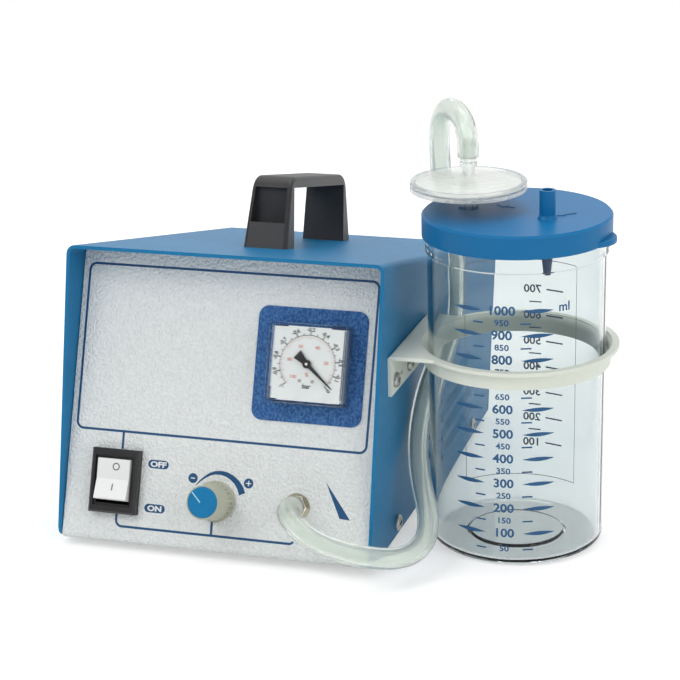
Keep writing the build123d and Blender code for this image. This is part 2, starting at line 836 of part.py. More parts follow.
def make_filter_lower():
    """The filter's lower half: a shallow dish with a stub that plugs into the lid."""
    low = filter_height - filter_rim_drop
    floor = low - filter_cone_rise / 2
    seat = lid_top - lid_plate
    inside = filter_radius - 2 * filter_wall
    points = [
        (filter_bore, seat - 5),
        (filter_seat_radius - 0.8, seat - 5),
        (filter_seat_radius, seat - 3),
        (filter_seat_radius, floor - 0.6),
        (inside - 2, floor + 0.4),
        (filter_radius - 0.5, low),
        (filter_radius, low + 0.6),
        (filter_radius, filter_height - 0.5),
        (filter_radius - 0.6, filter_height),
        (inside, filter_height),
        (inside, low + filter_wall),
        (filter_bore, floor + filter_wall),
    ]
    return filter_axis * revolve_points(points)


def make_filter_upper():
    """The filter's upper half: a low cone with a barbed stem for the hose."""
    high = filter_height + filter_rim_rise
    crown = high + filter_cone_rise
    inside = filter_radius - 2 * filter_wall
    ring = crown + 5.5
    tip = filter_nipple_top
    points = [
        (filter_radius - 0.6, filter_height),
        (filter_radius, filter_height + 0.5),
        (filter_radius, high - 0.6),
        (filter_radius - 0.6, high),
        (filter_stem_radius + 1.2, crown),
        (filter_stem_radius, crown + 1.2),
        (filter_stem_radius, ring),
        (filter_ring_radius, ring + 0.3),
        (filter_ring_radius, ring + 2.2),
        (filter_stem_radius - 0.4, ring + 2.5),
        (filter_stem_radius - 0.4, ring + 3.4),
        (filter_ring_radius - 0.3, ring + 3.7),
        (filter_ring_radius - 0.3, ring + 4.7),
        (filter_nipple_radius, ring + 4.9),
        (filter_nipple_radius, tip - 9),
        (filter_barb_radius, tip - 8.5),
        (filter_nipple_radius, tip - 4.5),
        (filter_barb_radius, tip - 4),
        (filter_nipple_radius - 0.4, tip),
        (filter_bore, tip),
        (filter_bore, crown - filter_wall),
        (inside, high - filter_wall),
        (inside, filter_height),
    ]
    return filter_axis * revolve_points(points)


def make_filter_membrane():
    radius = filter_radius - 2 * filter_wall - 0.3
    low = filter_height - filter_rim_drop + filter_wall
    return filter_axis * Pos(0, 0, low) * rod(radius, filter_membrane_thickness)


def hose_line():
    """The hose's route as straight runs joined by tangent arcs."""
    points = [Vector(*p) for p in hose_points]
    radii = []
    for before, here, after in zip(points, points[1:], points[2:]):
        turn = (here - before).get_angle(after - here)
        run = min((here - before).length, (after - here).length)
        radii.append(0.45 * run / tan(radians(turn / 2)))
    print("hose radii mm", [round(r, 1) for r in radii])
    return FilletPolyline(*points, radius=radii)


def make_hose():
    line = hose_line()
    start = Plane(origin=line @ 0, z_dir=line % 0)
    hose = sweep(start * Circle(hose_radius) - start * Circle(hose_bore), path=line)
    area = pi * (hose_radius**2 - hose_bore**2)
    print("hose length mm", round(line.length, 1), "volume ratio", round(hose.volume / (area * line.length), 4))
    return hose


def make_pump_plate():
    level = foot_height + sheet + mount_height
    plate = Pos(pump_plate_x, pump_plate_y, level) * block(*pump_plate_size, sheet)
    plate = fillet(plate.edges().filter_by(Axis.Z), 6)
    for place in pump_mount_places():
        plate -= place * Cylinder(2.3, 60)
    return plate


def pump_mount_places():
    """The four rubber mounts under the pump plate."""
    half_x = pump_plate_size[0] / 2 - 10
    half_y = pump_plate_size[1] / 2 - 10
    spots = [(-half_x, -half_y), (half_x, -half_y), (-half_x, half_y), (half_x, half_y)]
    return [Pos(pump_plate_x + x, pump_plate_y + y, foot_height + sheet) for x, y in spots]


def make_pump_mount(place):
    mount = rod(mount_radius, mount_height)
    waist = Pos(0, 0, mount_height / 2) * Torus(mount_radius + 1.2, 2.6)
    stud = Pos(0, 0, mount_height) * rod(2.1, sheet + 2)
    return place * (mount - waist + stud)


def motor_frame(x):
    """A frame on the motor's axis, its Z along +X."""
    return Plane(
        origin=(pump_plate_x + x, pump_plate_y, foot_height + motor_axis_height),
        x_dir=(0, 1, 0),
        z_dir=(1, 0, 0),
    )


def quarters():
    """Four turns about an axis, on its diagonals."""
    return [Rot(0, 0, 45 + i * 90) for i in range(4)]


def make_motor_stator():
    stack = tube_of(stator_radius, stator_bore, stator_length)
    slot = Pos(stator_bore + 7, 0, 0) * block(10, 7, stator_length)
    stack -= [turn * slot for turn in quarters()]
    level = foot_height + sheet + mount_height + sheet
    drop = foot_height + motor_axis_height - level
    frame = motor_frame(-stator_length)
    foot = Pos(-stator_length / 2 + pump_plate_x, pump_plate_y, level) * block(
        stator_length, 44, drop - stator_radius + 4
    )
    return frame * stack + foot


def make_motor_coil(side):
    x = -stator_length - coil_height if side < 0 else 0
    ring = tube_of(stator_bore + 11, stator_bore + 2, coil_height)
    ring = fillet(ring.edges().group_by(Axis.Z)[-1 if side > 0 else 0], 2.5)
    return motor_frame(x) * ring


def make_motor_rotor():
    core = Pos(0, 0, -stator_length) * rod(stator_bore - air_gap, stator_length)
    core = chamfer(core.edges(), 1)
    tail = stator_length + coil_height + bearing_length + 20
    shaft = Pos(0, 0, -tail) * rod(rotor_shaft_radius, tail + coil_height + bearing_length + 18)
    return motor_frame(0) * (core + shaft)


def make_motor_shield(side):
    """An end shield with its bearing seat, standing on the pump plate."""
    reach = coil_height + shield_gap
    x = reach if side > 0 else -stator_length - reach - bearing_length
    frame = motor_frame(x)
    disc = tube_of(stator_radius - 2, rotor_shaft_radius + shaft_gap, bearing_length)
    window = Pos((bearing_radius + stator_radius - 2) / 2, 0, 0) * rod(shield_window_radius, bearing_length)
    disc -= [turn * window for turn in quarters()]
    level = foot_height + sheet + mount_height + sheet
    drop = foot_height + motor_axis_height - level
    foot = Pos(pump_plate_x + x + bearing_length / 2, pump_plate_y, level) * block(
        bearing_length, 30, drop - stator_radius + 6
    )
    return frame * disc + foot


def make_fan():
    tail = -stator_length - coil_height - shield_gap - bearing_length - 2.5 - fan_depth
    hub = tube_of(8, rotor_shaft_radius, fan_depth)
    blade = Pos(20, 0, 0) * Rot(28, 0, 0) * block(26, 1.4, fan_depth * 1.05)
    blades = [Rot(0, 0, i * 360 / fan_blades) * blade for i in range(fan_blades)]
    fan = hub + [b & rod(fan_radius, fan_depth) for b in blades]
    return motor_frame(tail) * fan


def pump_x():
    """The near face of the pump housing along the motor's axis."""
    return coil_height + shield_gap + bearing_length + 1.0


def make_pump_housing():
    level = foot_height + sheet + mount_height + sheet
    axis_drop = foot_height + motor_axis_height - level
    width = 2 * cylinder_radius + 8
    frame = motor_frame(pump_x())
    case = Pos(pump_plate_x + pump_x(), pump_plate_y, level) * Box(
        pump_body_width, width, axis_drop + pump_rise, align=(Align.MIN, Align.CENTER, Align.MIN)
    )
    case = fillet(case.edges().filter_by(Axis.X), 5)
    case -= frame * Pos(0, 0, -1) * rod(rotor_shaft_radius + 0.3, 20)
    return case


def pump_head_level():
    """The height of the joint between the pump's housing and head."""
    return foot_height + motor_axis_height + pump_rise


def pump_middle():
    """The middle of the pump's head across the case."""
    return pump_plate_x + pump_x() + pump_body_width / 2


def make_pump_head():
    x = pump_middle()
    length = 2 * cylinder_radius + 4
    head = Pos(x, pump_plate_y, pump_head_level()) * block(pump_body_width - 2, length, pump_head_height)
    head = fillet(head.edges().filter_by(Axis.Z), 4)
    for i in range(pump_fins - 1):
        y = pump_plate_y + (i - (pump_fins - 2) / 2) * pump_fin_pitch
        head -= Pos(x, y, pump_head_level() + pump_fin_floor) * block(
            pump_body_width, pump_fin_slot, pump_head_height
        )
    for turn in (-1, 1):
        spigot = Pos(x, pump_plate_y + turn * (length / 2 - 2), pump_head_level() + spigot_rise)
        head += spigot * Rot(-90 * turn, 0, 0) * rod(tube_bore, spigot_length + 2)
    return head


def tube_along(points, radius_of_bend):
    """A soft inner tube along straight runs joined by arcs."""
    line = FilletPolyline(*points, radius=radius_of_bend)
    start = Plane(origin=line @ 0, z_dir=line % 0)
    return sweep(start * Circle(tube_radius) - start * Circle(tube_bore), path=line)


def on_panel(u, v, h):
    """A point given in the front panel's frame."""
    return panel_frame.from_local_coords(Vector(u, v, h))


def pump_port(turn, reach):
    """A point in front of the pump head (turn -1) or behind it (turn 1)."""
    y = pump_plate_y + turn * (cylinder_radius + tube_seat + reach)
    return Vector(pump_middle(), y, pump_head_level() + spigot_rise)


def make_suction_tube():
    """From the inlet's inner spigot to the pump head's front spigot."""
    start = on_panel(inlet_u, inlet_v, -sheet - inlet_spigot + spigot_length)
    leave = on_panel(inlet_u, inlet_v, -sheet - inlet_spigot + spigot_length - suction_lead)
    return tube_along([start, leave, pump_port(-1, suction_lead), pump_port(-1, 0)], suction_bend)


def make_exhaust_tube():
    """From the pump head's rear spigot to the silencer."""
    seat = -sheet - silencer_spigot + spigot_length
    end = rear_frame.from_local_coords(Vector(silencer_u, silencer_v, seat))
    before = rear_frame.from_local_coords(Vector(silencer_u, silencer_v, seat - exhaust_lead + 2))
    return tube_along([pump_port(1, 0), pump_port(1, exhaust_lead), before, end], exhaust_bend)


def make_silencer():
    outside = rod(silencer_radius, silencer_length)
    outside = fillet(outside.edges().group_by(Axis.Z)[-1], 2)
    slots = [Rot(0, 0, i * 45) * Pos(silencer_radius, 0, 8) * block(3, 1.6, 8) for i in range(8)]
    thread = Pos(0, 0, -sheet - silencer_thread) * rod(5.0, sheet + silencer_thread)
    spigot = Pos(0, 0, -sheet - silencer_spigot) * rod(tube_bore, silencer_spigot)
    return rear_frame * Pos(silencer_u, silencer_v, 0) * (outside - slots + thread + spigot)


def make_power_inlet():
    body = Pos(0, 0, -24) * block(socket_width, socket_height, 24)
    flange = block(socket_width + 22, socket_height + 3, 2.5)
    flange = fillet(flange.edges().filter_by(Axis.Z), 3)
    recess = Pos(0, 0, -14) * block(24.5, 16.5, 20)
    recess = chamfer(recess.edges().filter_by(Axis.Z).sort_by(Axis.Y)[-2:], 4)
    inlet = body + flange - recess
    for turn in (-1, 1):
        inlet -= Pos(turn * (socket_width / 2 + 6.5), 0, 0) * Cylinder(1.5, 20)
    pins = [Pos(x, y, -15) * block(2, 4, 12) for x, y in ((-7, -2), (7, -2), (0, 2))]
    return rear_frame * Pos(socket_u, socket_v, 0) * (inlet + pins)


def make_power_screw(turn):
    place = rear_frame * Pos(socket_u + turn * (socket_width / 2 + 6.5), socket_v, 2.5)
    return place * pan_screw(2.8, 1.6, 1.4, 2.5)


def make_fuse_holder():
    cap = rod(7.5, 6)
    cap = chamfer(cap.edges().group_by(Axis.Z)[-1], 1)
    cap -= Pos(0, 0, 4) * block(11, 1.6, 4)
    return rear_frame * Pos(socket_u + 44, socket_v, 0) * cap


def add(name, solid):
    """Keeps a finished piece under its node name."""
    parts[name] = solid


add("cover", make_cover())
add("chassis", make_chassis())
for number, place in enumerate(foot_places(), 1):
    add(f"foot_{number}", make_foot(place))
add("handle", make_handle())
for number, s in enumerate(
    (handle_start + handle_leg / 2, handle_start + handle_length - handle_leg / 2), 1
):
    add(f"handle_screw_{number}", make_handle_screw(s))
for number, (y, z) in enumerate(side_screw_places(), 1):
    add(f"cover_screw_right_{number}", make_cover_screw(case_width, y, z))
    add(f"cover_screw_left_{number}", make_cover_screw(0, y, z))
add("switch_housing", make_switch_housing())
add("rocker", make_rocker())
add("knob_body", make_knob_body())
add("knob_cap", make_knob_cap())
add("regulator_shaft", make_regulator_shaft())
add("regulator_valve", make_regulator_valve())
add("gauge_plate", make_gauge_plate())
add("gauge_case", make_gauge_case())
add("gauge_dial", make_gauge_dial())
add("gauge_needle", make_gauge_needle())
add("gauge_crystal", make_gauge_crystal())
add("inlet_nipple", make_inlet_nipple())
add("inlet_nut", make_inlet_nut())
add("jar_bracket", make_bracket())
for number, y in enumerate((bracket_screw_front, bracket_screw_back), 1):
    add(f"bracket_screw_{number}", make_bracket_screw(y))
add("jar", make_jar())
add("lid", make_lid())
add("lid_gasket", make_lid_gasket())
add("filter_lower_shell", make_filter_lower())
add("filter_upper_shell", make_filter_upper())
add("filter_membrane", make_filter_membrane())
add("hose", make_hose())
add("pump_plate", make_pump_plate())
for number, place in enumerate(pump_mount_places(), 1):
    add(f"pump_mount_{number}", make_pump_mount(place))
add("motor_stator", make_motor_stator())
add("motor_coil_left", make_motor_coil(-1))
add("motor_coil_right", make_motor_coil(1))
add("motor_rotor", make_motor_rotor())
add("motor_shield_left", make_motor_shield(-1))
add("motor_shield_right", make_motor_shield(1))
add("motor_fan", make_fan())
add("pump_housing", make_pump_housing())
add("pump_head", make_pump_head())
add("suction_tube", make_suction_tube())
add("exhaust_tube", make_exhaust_tube())
add("exhaust_silencer", make_silencer())
add("power_inlet", make_power_inlet())
add("power_screw_1", make_power_screw(-1))
add("power_screw_2", make_power_screw(1))
add("fuse_holder", make_fuse_holder())

# The footprint's middle on the bench, without the hose, becomes the origin
rigid = Compound([solid for name, solid in parts.items() if name != "hose"])
box = rigid.bounding_box()
middle = Vector((box.min.X + box.max.X) / 2, (box.min.Y + box.max.Y) / 2, box.min.Z)
print("origin from the case corner mm", [round(v, 3) for v in middle])

os.makedirs("parts", exist_ok=True)
for name, solid in parts.items():
    export_step(Pos(-middle.X, -middle.Y, -middle.Z) * solid, f"parts/{name}.step")
print(len(parts), "nodes")
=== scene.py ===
import json
from math import cos, hypot, pi, radians, sin

import bmesh
import bpy
from mathutils import Matrix, Vector


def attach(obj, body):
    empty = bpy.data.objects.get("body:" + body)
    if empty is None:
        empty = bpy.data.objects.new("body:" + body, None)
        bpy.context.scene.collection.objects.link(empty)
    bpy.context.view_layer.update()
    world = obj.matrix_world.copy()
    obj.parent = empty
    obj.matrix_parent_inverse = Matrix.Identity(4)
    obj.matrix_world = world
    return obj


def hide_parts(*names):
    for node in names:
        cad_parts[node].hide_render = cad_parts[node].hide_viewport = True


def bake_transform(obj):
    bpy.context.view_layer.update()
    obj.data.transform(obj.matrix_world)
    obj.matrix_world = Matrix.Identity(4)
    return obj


# Vacuum aspirator: looks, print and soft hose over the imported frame.
# Metres. X to the jar's side, Y to the back, Z up from the bench.

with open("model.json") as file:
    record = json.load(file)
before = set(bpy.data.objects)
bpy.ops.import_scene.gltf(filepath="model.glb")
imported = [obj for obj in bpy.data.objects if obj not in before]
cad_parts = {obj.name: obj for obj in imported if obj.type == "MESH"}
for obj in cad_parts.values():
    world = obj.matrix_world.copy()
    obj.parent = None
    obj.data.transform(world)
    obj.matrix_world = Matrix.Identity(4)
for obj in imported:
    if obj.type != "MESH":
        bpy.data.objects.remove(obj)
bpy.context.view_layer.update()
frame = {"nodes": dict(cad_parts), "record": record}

MM = 0.001

# The frame's origin, seen from the case's left front bottom corner
SHIFT = Vector((151.65, 141.426, 0.0))

# Sizes that the solids have too
FOOT = 4.5
PANEL_RAKE = 20.5
JAR_X = 249.3
JAR_Y = 84.0
JAR_HEIGHT = 187.0
JAR_BASE_RADIUS = 48.8
JAR_TOP_RADIUS = 49.8
HOSE_RADIUS = 6.0
HOSE_BORE = 3.5

HOSE_LOW_ROUTE = [
    (141.8, 5.7, 36.0),
    (141.8, -15.7, 44.0),
    (159.5, -24.5, 31.5),
    (182.5, -18.5, 22.0),
    (205.0, -8.0, 17.0),
    (214.3, 12.0, 17.5),
    (211.0, 36.0, 24.0),
    (199.5, 58.0, 38.0),
    (193.5, 74.0, 55.0),
    (193.9, 92.0, 79.0),
    (198.7, 113.0, 97.0),
]
HOSE_HIGH_ROUTE = [
    (199.3, 135.5, 114.5),
    (200.3, 128.0, 150.0),
    (197.0, 122.0, 190.0),
    (195.0, 122.0, 226.7),
    (202.6, 111.6, 240.6),
    (213.6, 96.0, 241.8),
    (221.9, 84.4, 232.6),
    (221.9, 84.4, 219.5),
]


def at(x, y, z):
    """A point measured from the case's corner in millimetres, in the frame's metres."""
    return (Vector((x, y, z)) - SHIFT) * MM


# Camera

PICTURE_PIXELS = 680
FOCUS_PIXELS = 2127.51
SENSOR_WIDTH = 36
CAMERA_PLACE = (500.10, -1016.54, 495.51)


def add_camera():
    """The photograph's camera, fitted to the case and the jar."""
    yaw, pitch, roll = 0.3115, 0.3234, 0.0256
    ahead = Vector((-sin(yaw) * cos(pitch), cos(yaw) * cos(pitch), -sin(pitch)))
    right = Vector((cos(yaw), sin(yaw), 0))
    up = right.cross(ahead)
    x_axis = cos(roll) * right - sin(roll) * up
    y_axis = sin(roll) * right + cos(roll) * up
    data = bpy.data.cameras.new("camera")
    camera = bpy.data.objects.new("camera", data)
    bpy.context.scene.collection.objects.link(camera)
    turn = Matrix((x_axis, y_axis, -ahead)).transposed().to_4x4()
    camera.matrix_world = Matrix.Translation(at(*CAMERA_PLACE)) @ turn
    data.sensor_width = SENSOR_WIDTH
    data.lens = FOCUS_PIXELS / PICTURE_PIXELS * SENSOR_WIDTH
    data.clip_start = 0.05
    data.clip_end = 30
    bpy.context.scene.camera = camera


# Node helpers

class Surface:
    """A node material on one Principled shader."""

    def __init__(self, name, **sockets):
        self.material = bpy.data.materials.new(name)
        self.material.use_nodes = True
        self.tree = self.material.node_tree
        self.tree.nodes.clear()
        output = self.node("ShaderNodeOutputMaterial")
        self.shader = self.node("ShaderNodeBsdfPrincipled")
        self.link(self.shader.outputs["BSDF"], output.inputs["Surface"])
        self.place = self.node("ShaderNodeTexCoord").outputs["Object"]
        for socket, value in sockets.items():
            self.shader.inputs[socket.replace("_", " ")].default_value = value

    def node(self, kind):
        return self.tree.nodes.new(kind)

    def link(self, start, end):
        self.tree.links.new(start, end)

    def noise(self, scale, detail, roughness=0.5, stretch=(1, 1, 1)):
        """Noise whose scale is in cells per metre."""
        mapping = self.node("ShaderNodeMapping")
        mapping.inputs["Scale"].default_value = stretch
        self.link(self.place, mapping.inputs["Vector"])
        made = self.node("ShaderNodeTexNoise")
        made.inputs["Scale"].default_value = scale
        made.inputs["Detail"].default_value = detail
        made.inputs["Roughness"].default_value = roughness
        self.link(mapping.outputs["Vector"], made.inputs["Vector"])
        return made.outputs["Fac"]

    def tint(self, value, low, high, start=0.3, end=0.7):
        """The base colour, from low to high as the value goes from start to end."""
        made = self.node("ShaderNodeValToRGB")
        for element, position, colour in zip(made.color_ramp.elements, (start, end), (low, high)):
            element.position = position
            element.color = (*colour, 1)
        self.link(value, made.inputs["Fac"])
        self.link(made.outputs["Color"], self.shader.inputs["Base Color"])

    def rough(self, value, low, high):
        """The roughness, from low to high as the value goes from 0 to 1."""
        made = self.node("ShaderNodeMapRange")
        made.inputs["To Min"].default_value = low
        made.inputs["To Max"].default_value = high
        self.link(value, made.inputs["Value"])
        self.link(made.outputs["Result"], self.shader.inputs["Roughness"])

    def bump(self, height, depth, strength=1.0):
        """A relief whose depth is in metres."""
        made = self.node("ShaderNodeBump")
        made.inputs["Distance"].default_value = depth
        made.inputs["Strength"].default_value = strength
        self.link(height, made.inputs["Height"])
        self.link(made.outputs["Normal"], self.shader.inputs["Normal"])


def shade(colour, factor):
    return tuple(min(1.0, c * factor) for c in colour)


def mottled(name, colour, contrast, scale, rough, grain, depth, **sockets):
    """A finish with slight colour and gloss variation and a fine relief."""
    made = Surface(name, **sockets)
    cloud = made.noise(scale, 3.0)
    made.tint(cloud, shade(colour, 1 - contrast), shade(colour, 1 + contrast))
    made.rough(cloud, rough - 0.04, rough + 0.04)
    made.bump(made.noise(grain, 2.0), depth)
    return made.material


def enamel_blue():
    """Satin enamel with a fine orange peel."""
    made = Surface("enamel_blue", Specular_IOR_Level=0.22)
    cloud = made.noise(18, 3.0)
    made.tint(cloud, (0.008, 0.170, 0.370), (0.011, 0.188, 0.400))
    made.rough(made.noise(300, 2.0), 0.40, 0.50)
    made.bump(made.noise(1100, 1.0), 0.00004, 0.7)
    return made.material


def grained_panel():
    """Pale grey paint with a leather grain of small creases, its colour lighter on the crests and darker in
    the creases as painted highlight and shade.
    """
    made = Surface("grained_panel", Specular_IOR_Level=0.4)
    crease_relief_and_shade = made.noise(620, 1.0, 0.4, (1.35, 1, 1))
    # Painted highlight and shade: the colour follows the crease relief, lighter on crests and darker in
    # creases
    made.tint(crease_relief_and_shade, (0.78, 0.82, 0.82), (0.85, 0.88, 0.875), start=0.35, end=0.65)
    made.rough(crease_relief_and_shade, 0.5, 0.34)
    made.bump(crease_relief_and_shade, 0.0014, 1.0)
    return made.material


def gauge_plate_blue():
    """Blue print over the panel's grain, its colour lighter on the crests and darker in the creases as
    painted highlight and shade.
    """
    made = Surface("gauge_plate_blue", Specular_IOR_Level=0.45)
    crease_relief_and_shade = made.noise(620, 1.5, 0.45, (1.35, 1, 1))
    # Painted highlight and shade: the blue follows the crease relief, bright on crests and deep in creases
    made.tint(crease_relief_and_shade, (0.008, 0.080, 0.28), (0.050, 0.190, 0.46), start=0.38, end=0.66)
    made.rough(crease_relief_and_shade, 0.42, 0.28)
    made.bump(crease_relief_and_shade, 0.0016, 1.0)
    return made.material


def black_moulding(name, level, rough):
    """Black plastic with a fine spark grain."""
    base = (level, level, level * 1.05)
    return mottled(name, base, contrast=0.15, scale=60, rough=rough, grain=1500, depth=0.00004)


def clear_plastic(name, colour, rough, ripple, **sockets):
    """Moulded clear plastic with a faint ripple."""
    made = Surface(name, **sockets)
    cloud = made.noise(40, 2.0)
    made.tint(cloud, shade(colour, 0.985), colour)
    made.rough(cloud, rough, rough + 0.02)
    made.bump(made.noise(22, 1.0), ripple, 0.4)
    return made.material


def milky_silicone():
    """Translucent silicone: milky walls that let light through."""
    made = Surface(
        "milky_silicone", IOR=1.38, Transmission_Weight=0.8, Subsurface_Weight=0.2, Specular_IOR_Level=0.6
    )
    made.shader.inputs["Subsurface Radius"].default_value = (0.006, 0.006, 0.005)
    cloud = made.noise(120, 3.0)
    made.tint(cloud, (0.90, 0.96, 0.90), (0.94, 0.98, 0.94))
    made.rough(cloud, 0.12, 0.20)
    made.bump(made.noise(260, 2.0), 0.00002, 0.5)
    return made.material


def ribbed_filter():
    """Clear moulding with a faint uneven relief."""
    made = Surface("ribbed_filter", IOR=1.45, Transmission_Weight=0.9, Alpha=0.65)
    cloud = made.noise(60, 2.0)
    made.tint(cloud, (0.93, 0.97, 0.94), (0.97, 0.99, 0.97))
    made.rough(cloud, 0.05, 0.1)
    made.bump(made.noise(420, 1.5, 0.5), 0.0003, 0.5)
    return made.material


def metal(name, colour, rough, brush=(1, 1, 1), contrast=0.05):
    """Bare or plated metal with fine turning or brushing marks."""
    made = Surface(name, Metallic=1.0)
    marks = made.noise(700, 3.0, 0.6, brush)
    made.tint(marks, shade(colour, 1 - contrast), shade(colour, 1 + contrast))
    made.rough(marks, rough, rough + 0.12)
    made.bump(marks, 0.00002, 0.5)
    return made.material


def ink(name, colour):
    """Screen print, very slightly uneven."""
    return mottled(name, colour, contrast=0.08, scale=400, rough=0.4, grain=3000, depth=0.000005)


def lid_blue():
    """Soft blue moulding with a satin skin."""
    made = Surface("lid_blue", Specular_IOR_Level=0.22)
    cloud = made.noise(30, 3.0)
    made.tint(cloud, (0.004, 0.145, 0.355), (0.006, 0.160, 0.385))
    made.rough(cloud, 0.34, 0.42)
    made.bump(made.noise(1200, 2.0), 0.00002, 0.6)
    return made.material


def woven_membrane():
    made = Surface("membrane", Sheen_Weight=0.2)
    fibres = made.noise(1500, 3.0, 0.7)
    made.tint(fibres, (0.8, 0.81, 0.79), (0.9, 0.9, 0.88))
    made.rough(fibres, 0.8, 0.95)
    made.bump(fibres, 0.0001)
    return made.material


MATERIALS = {
    "case_blue": enamel_blue(),
    "panel_silver": grained_panel(),
    "handle_black": black_moulding("handle_black", level=0.030, rough=0.46),
    "foot_rubber": mottled(
        "foot_rubber", (0.02, 0.02, 0.02),
        contrast=0.2, scale=200, rough=0.75, grain=1200, depth=0.00006
    ),
    "screw_steel": metal("screw_steel", (0.42, 0.42, 0.41), rough=0.25),
    "switch_black": black_moulding("switch_black", level=0.018, rough=0.4),
    "rocker_ivory": mottled(
        "rocker_ivory", (0.83, 0.84, 0.83), contrast=0.02, scale=90, rough=0.3, grain=900, depth=0.00001
    ),
    "knob_grey": mottled(
        "knob_grey", (0.47, 0.48, 0.37), contrast=0.06, scale=120, rough=0.42, grain=1400, depth=0.00004
    ),
    "knob_blue": mottled(
        "knob_blue", (0.004, 0.19, 0.42),
        contrast=0.04, scale=120, rough=0.38, grain=1400, depth=0.00002, Specular_IOR_Level=0.3
    ),
    "valve_brass": metal("valve_brass", (0.62, 0.43, 0.18), rough=0.3),
    "shaft_steel": metal("shaft_steel", (0.5, 0.5, 0.5), rough=0.25, brush=(0.1, 1, 1)),
    "gauge_plate_blue": gauge_plate_blue(),
    "gauge_body": mottled(
        "gauge_body", (0.26, 0.29, 0.31), contrast=0.06, scale=90, rough=0.4, grain=1300, depth=0.00003
    ),
    "dial_white": mottled(
        "dial_white", (0.78, 0.82, 0.81),
        contrast=0.02, scale=120, rough=0.45, grain=2500, depth=0.000005
    ),
    "needle_black": mottled(
        "needle_black", (0.006, 0.006, 0.006),
        contrast=0.1, scale=300, rough=0.45, grain=2000, depth=0.00001
    ),
    "crystal": clear_plastic(
        "crystal", (0.98, 0.99, 0.99), rough=0.0, ripple=0.00001, Alpha=0.3, Transmission_Weight=1.0
    ),
    "chrome": metal("chrome", (0.74, 0.70, 0.58), rough=0.14),
    "bracket_white": mottled(
        "bracket_white", (0.78, 0.82, 0.73),
        contrast=0.02, scale=60, rough=0.4, grain=700, depth=0.00004
    ),
    "jar_clear": clear_plastic(
        "jar_clear", (0.80, 0.84, 0.84), rough=0.0, ripple=0.00012, IOR=1.3, Transmission_Weight=1.0
    ),
    "lid_blue": lid_blue(),
    "gasket_grey": mottled(
        "gasket_grey", (0.5, 0.5, 0.5), contrast=0.1, scale=200, rough=0.6, grain=900, depth=0.00004
    ),
    "filter_clear": ribbed_filter(),
    "membrane_white": woven_membrane(),
    "hose_silicone": milky_silicone(),
    "lamination_steel": metal("lamination_steel", (0.22, 0.22, 0.23), rough=0.4, brush=(8, 0.1, 0.1)),
    "winding_copper": metal("winding_copper", (0.5, 0.2, 0.07), rough=0.35, brush=(1, 6, 6)),
    "cast_aluminium": metal("cast_aluminium", (0.5, 0.5, 0.5), rough=0.45),
    "fan_grey": mottled(
        "fan_grey", (0.15, 0.15, 0.16), contrast=0.1, scale=90, rough=0.45, grain=1200, depth=0.00003
    ),
    "tube_clear": clear_plastic(
        "tube_clear", (0.8, 0.8, 0.74), rough=0.2, ripple=0.00002, Transmission_Weight=0.6
    ),
    "plate_zinc": metal("plate_zinc", (0.5, 0.5, 0.47), rough=0.35),
    "inlet_black": black_moulding("inlet_black", level=0.018, rough=0.42),
}
PRINT = {
    "navy": ink("ink_navy", (0.008, 0.080, 0.21)),
    "black": ink("ink_black", (0.012, 0.012, 0.013)),
    "red": ink("ink_red", (0.62, 0.12, 0.08)),
    "white": ink("ink_white", (0.8, 0.82, 0.82)),
    "jar": ink("ink_jar", (0.005, 0.085, 0.22)),
    "grey": ink("ink_grey", (0.10, 0.11, 0.12)),
    "label": ink("ink_label", (0.18, 0.21, 0.22)),
    "pale": ink("ink_pale", (0.45, 0.75, 0.85)),
    # Dark navy for the port's tail: painted shade, because the tail hangs shaded inside the jar
    "tail_painted_shade": ink("shaded_blue", (0.006, 0.045, 0.15)),
}


def dress_nodes():
    """Gives every node of the frame its material."""
    for part in frame["record"]["subparts"]:
        node = frame["nodes"][part["node"]]
        surface = MATERIALS[part["material_slot"]]
        if not node.data.materials:
            node.data.materials.append(surface)
        for index in range(len(node.material_slots)):
            node.material_slots[index].material = surface


# Piece helpers

def new_piece(name, mesh, surface, body):
    """Links a finished mesh as a piece that rides on a body."""
    piece = bpy.data.objects.new(name, mesh)
    bpy.context.scene.collection.objects.link(piece)
    mesh.materials.append(surface)
    if body is not None:
        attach(piece, body)
    return piece


def print_piece(name, shapes, place, surface, body):
    """Flat shapes, each (points, faces) in millimetres, set on a surface by place(x, y)."""
    points, faces = [], []
    for shape_points, shape_faces in shapes:
        start = len(points)
        points += [place(x, y) for x, y in shape_points]
        faces += [[start + i for i in face] for face in shape_faces]
    mesh = bpy.data.meshes.new(name)
    mesh.from_pydata(points, [], faces)
    mesh.validate()
    mesh.update()
    return new_piece(name, mesh, surface, body)


def letters(text, size, x, y, turn=0.0, bold=0.0, wide=1.0):
    """Text as a flat shape, centred on (x, y) and turned by degrees."""
    curve = bpy.data.curves.new("letters", "FONT")
    curve.body = text
    curve.size = size
    curve.offset = bold
    curve.align_x = "CENTER"
    curve.align_y = "CENTER"
    curve.resolution_u = 3
    holder = bpy.data.objects.new("letters", curve)
    mesh = bpy.data.meshes.new_from_object(holder)
    points = [(v.co.x, v.co.y) for v in mesh.vertices]
    faces = [list(p.vertices) for p in mesh.polygons]
    bpy.data.objects.remove(holder)
    bpy.data.curves.remove(curve)
    bpy.data.meshes.remove(mesh)
    middle = (min(p[1] for p in points) + max(p[1] for p in points)) / 2
    c, s = cos(radians(turn)), sin(radians(turn))
    placed = []
    for px, py in points:
        px *= wide
        py -= middle
        placed.append((x + px * c - py * s, y + px * s + py * c))
    return placed, faces


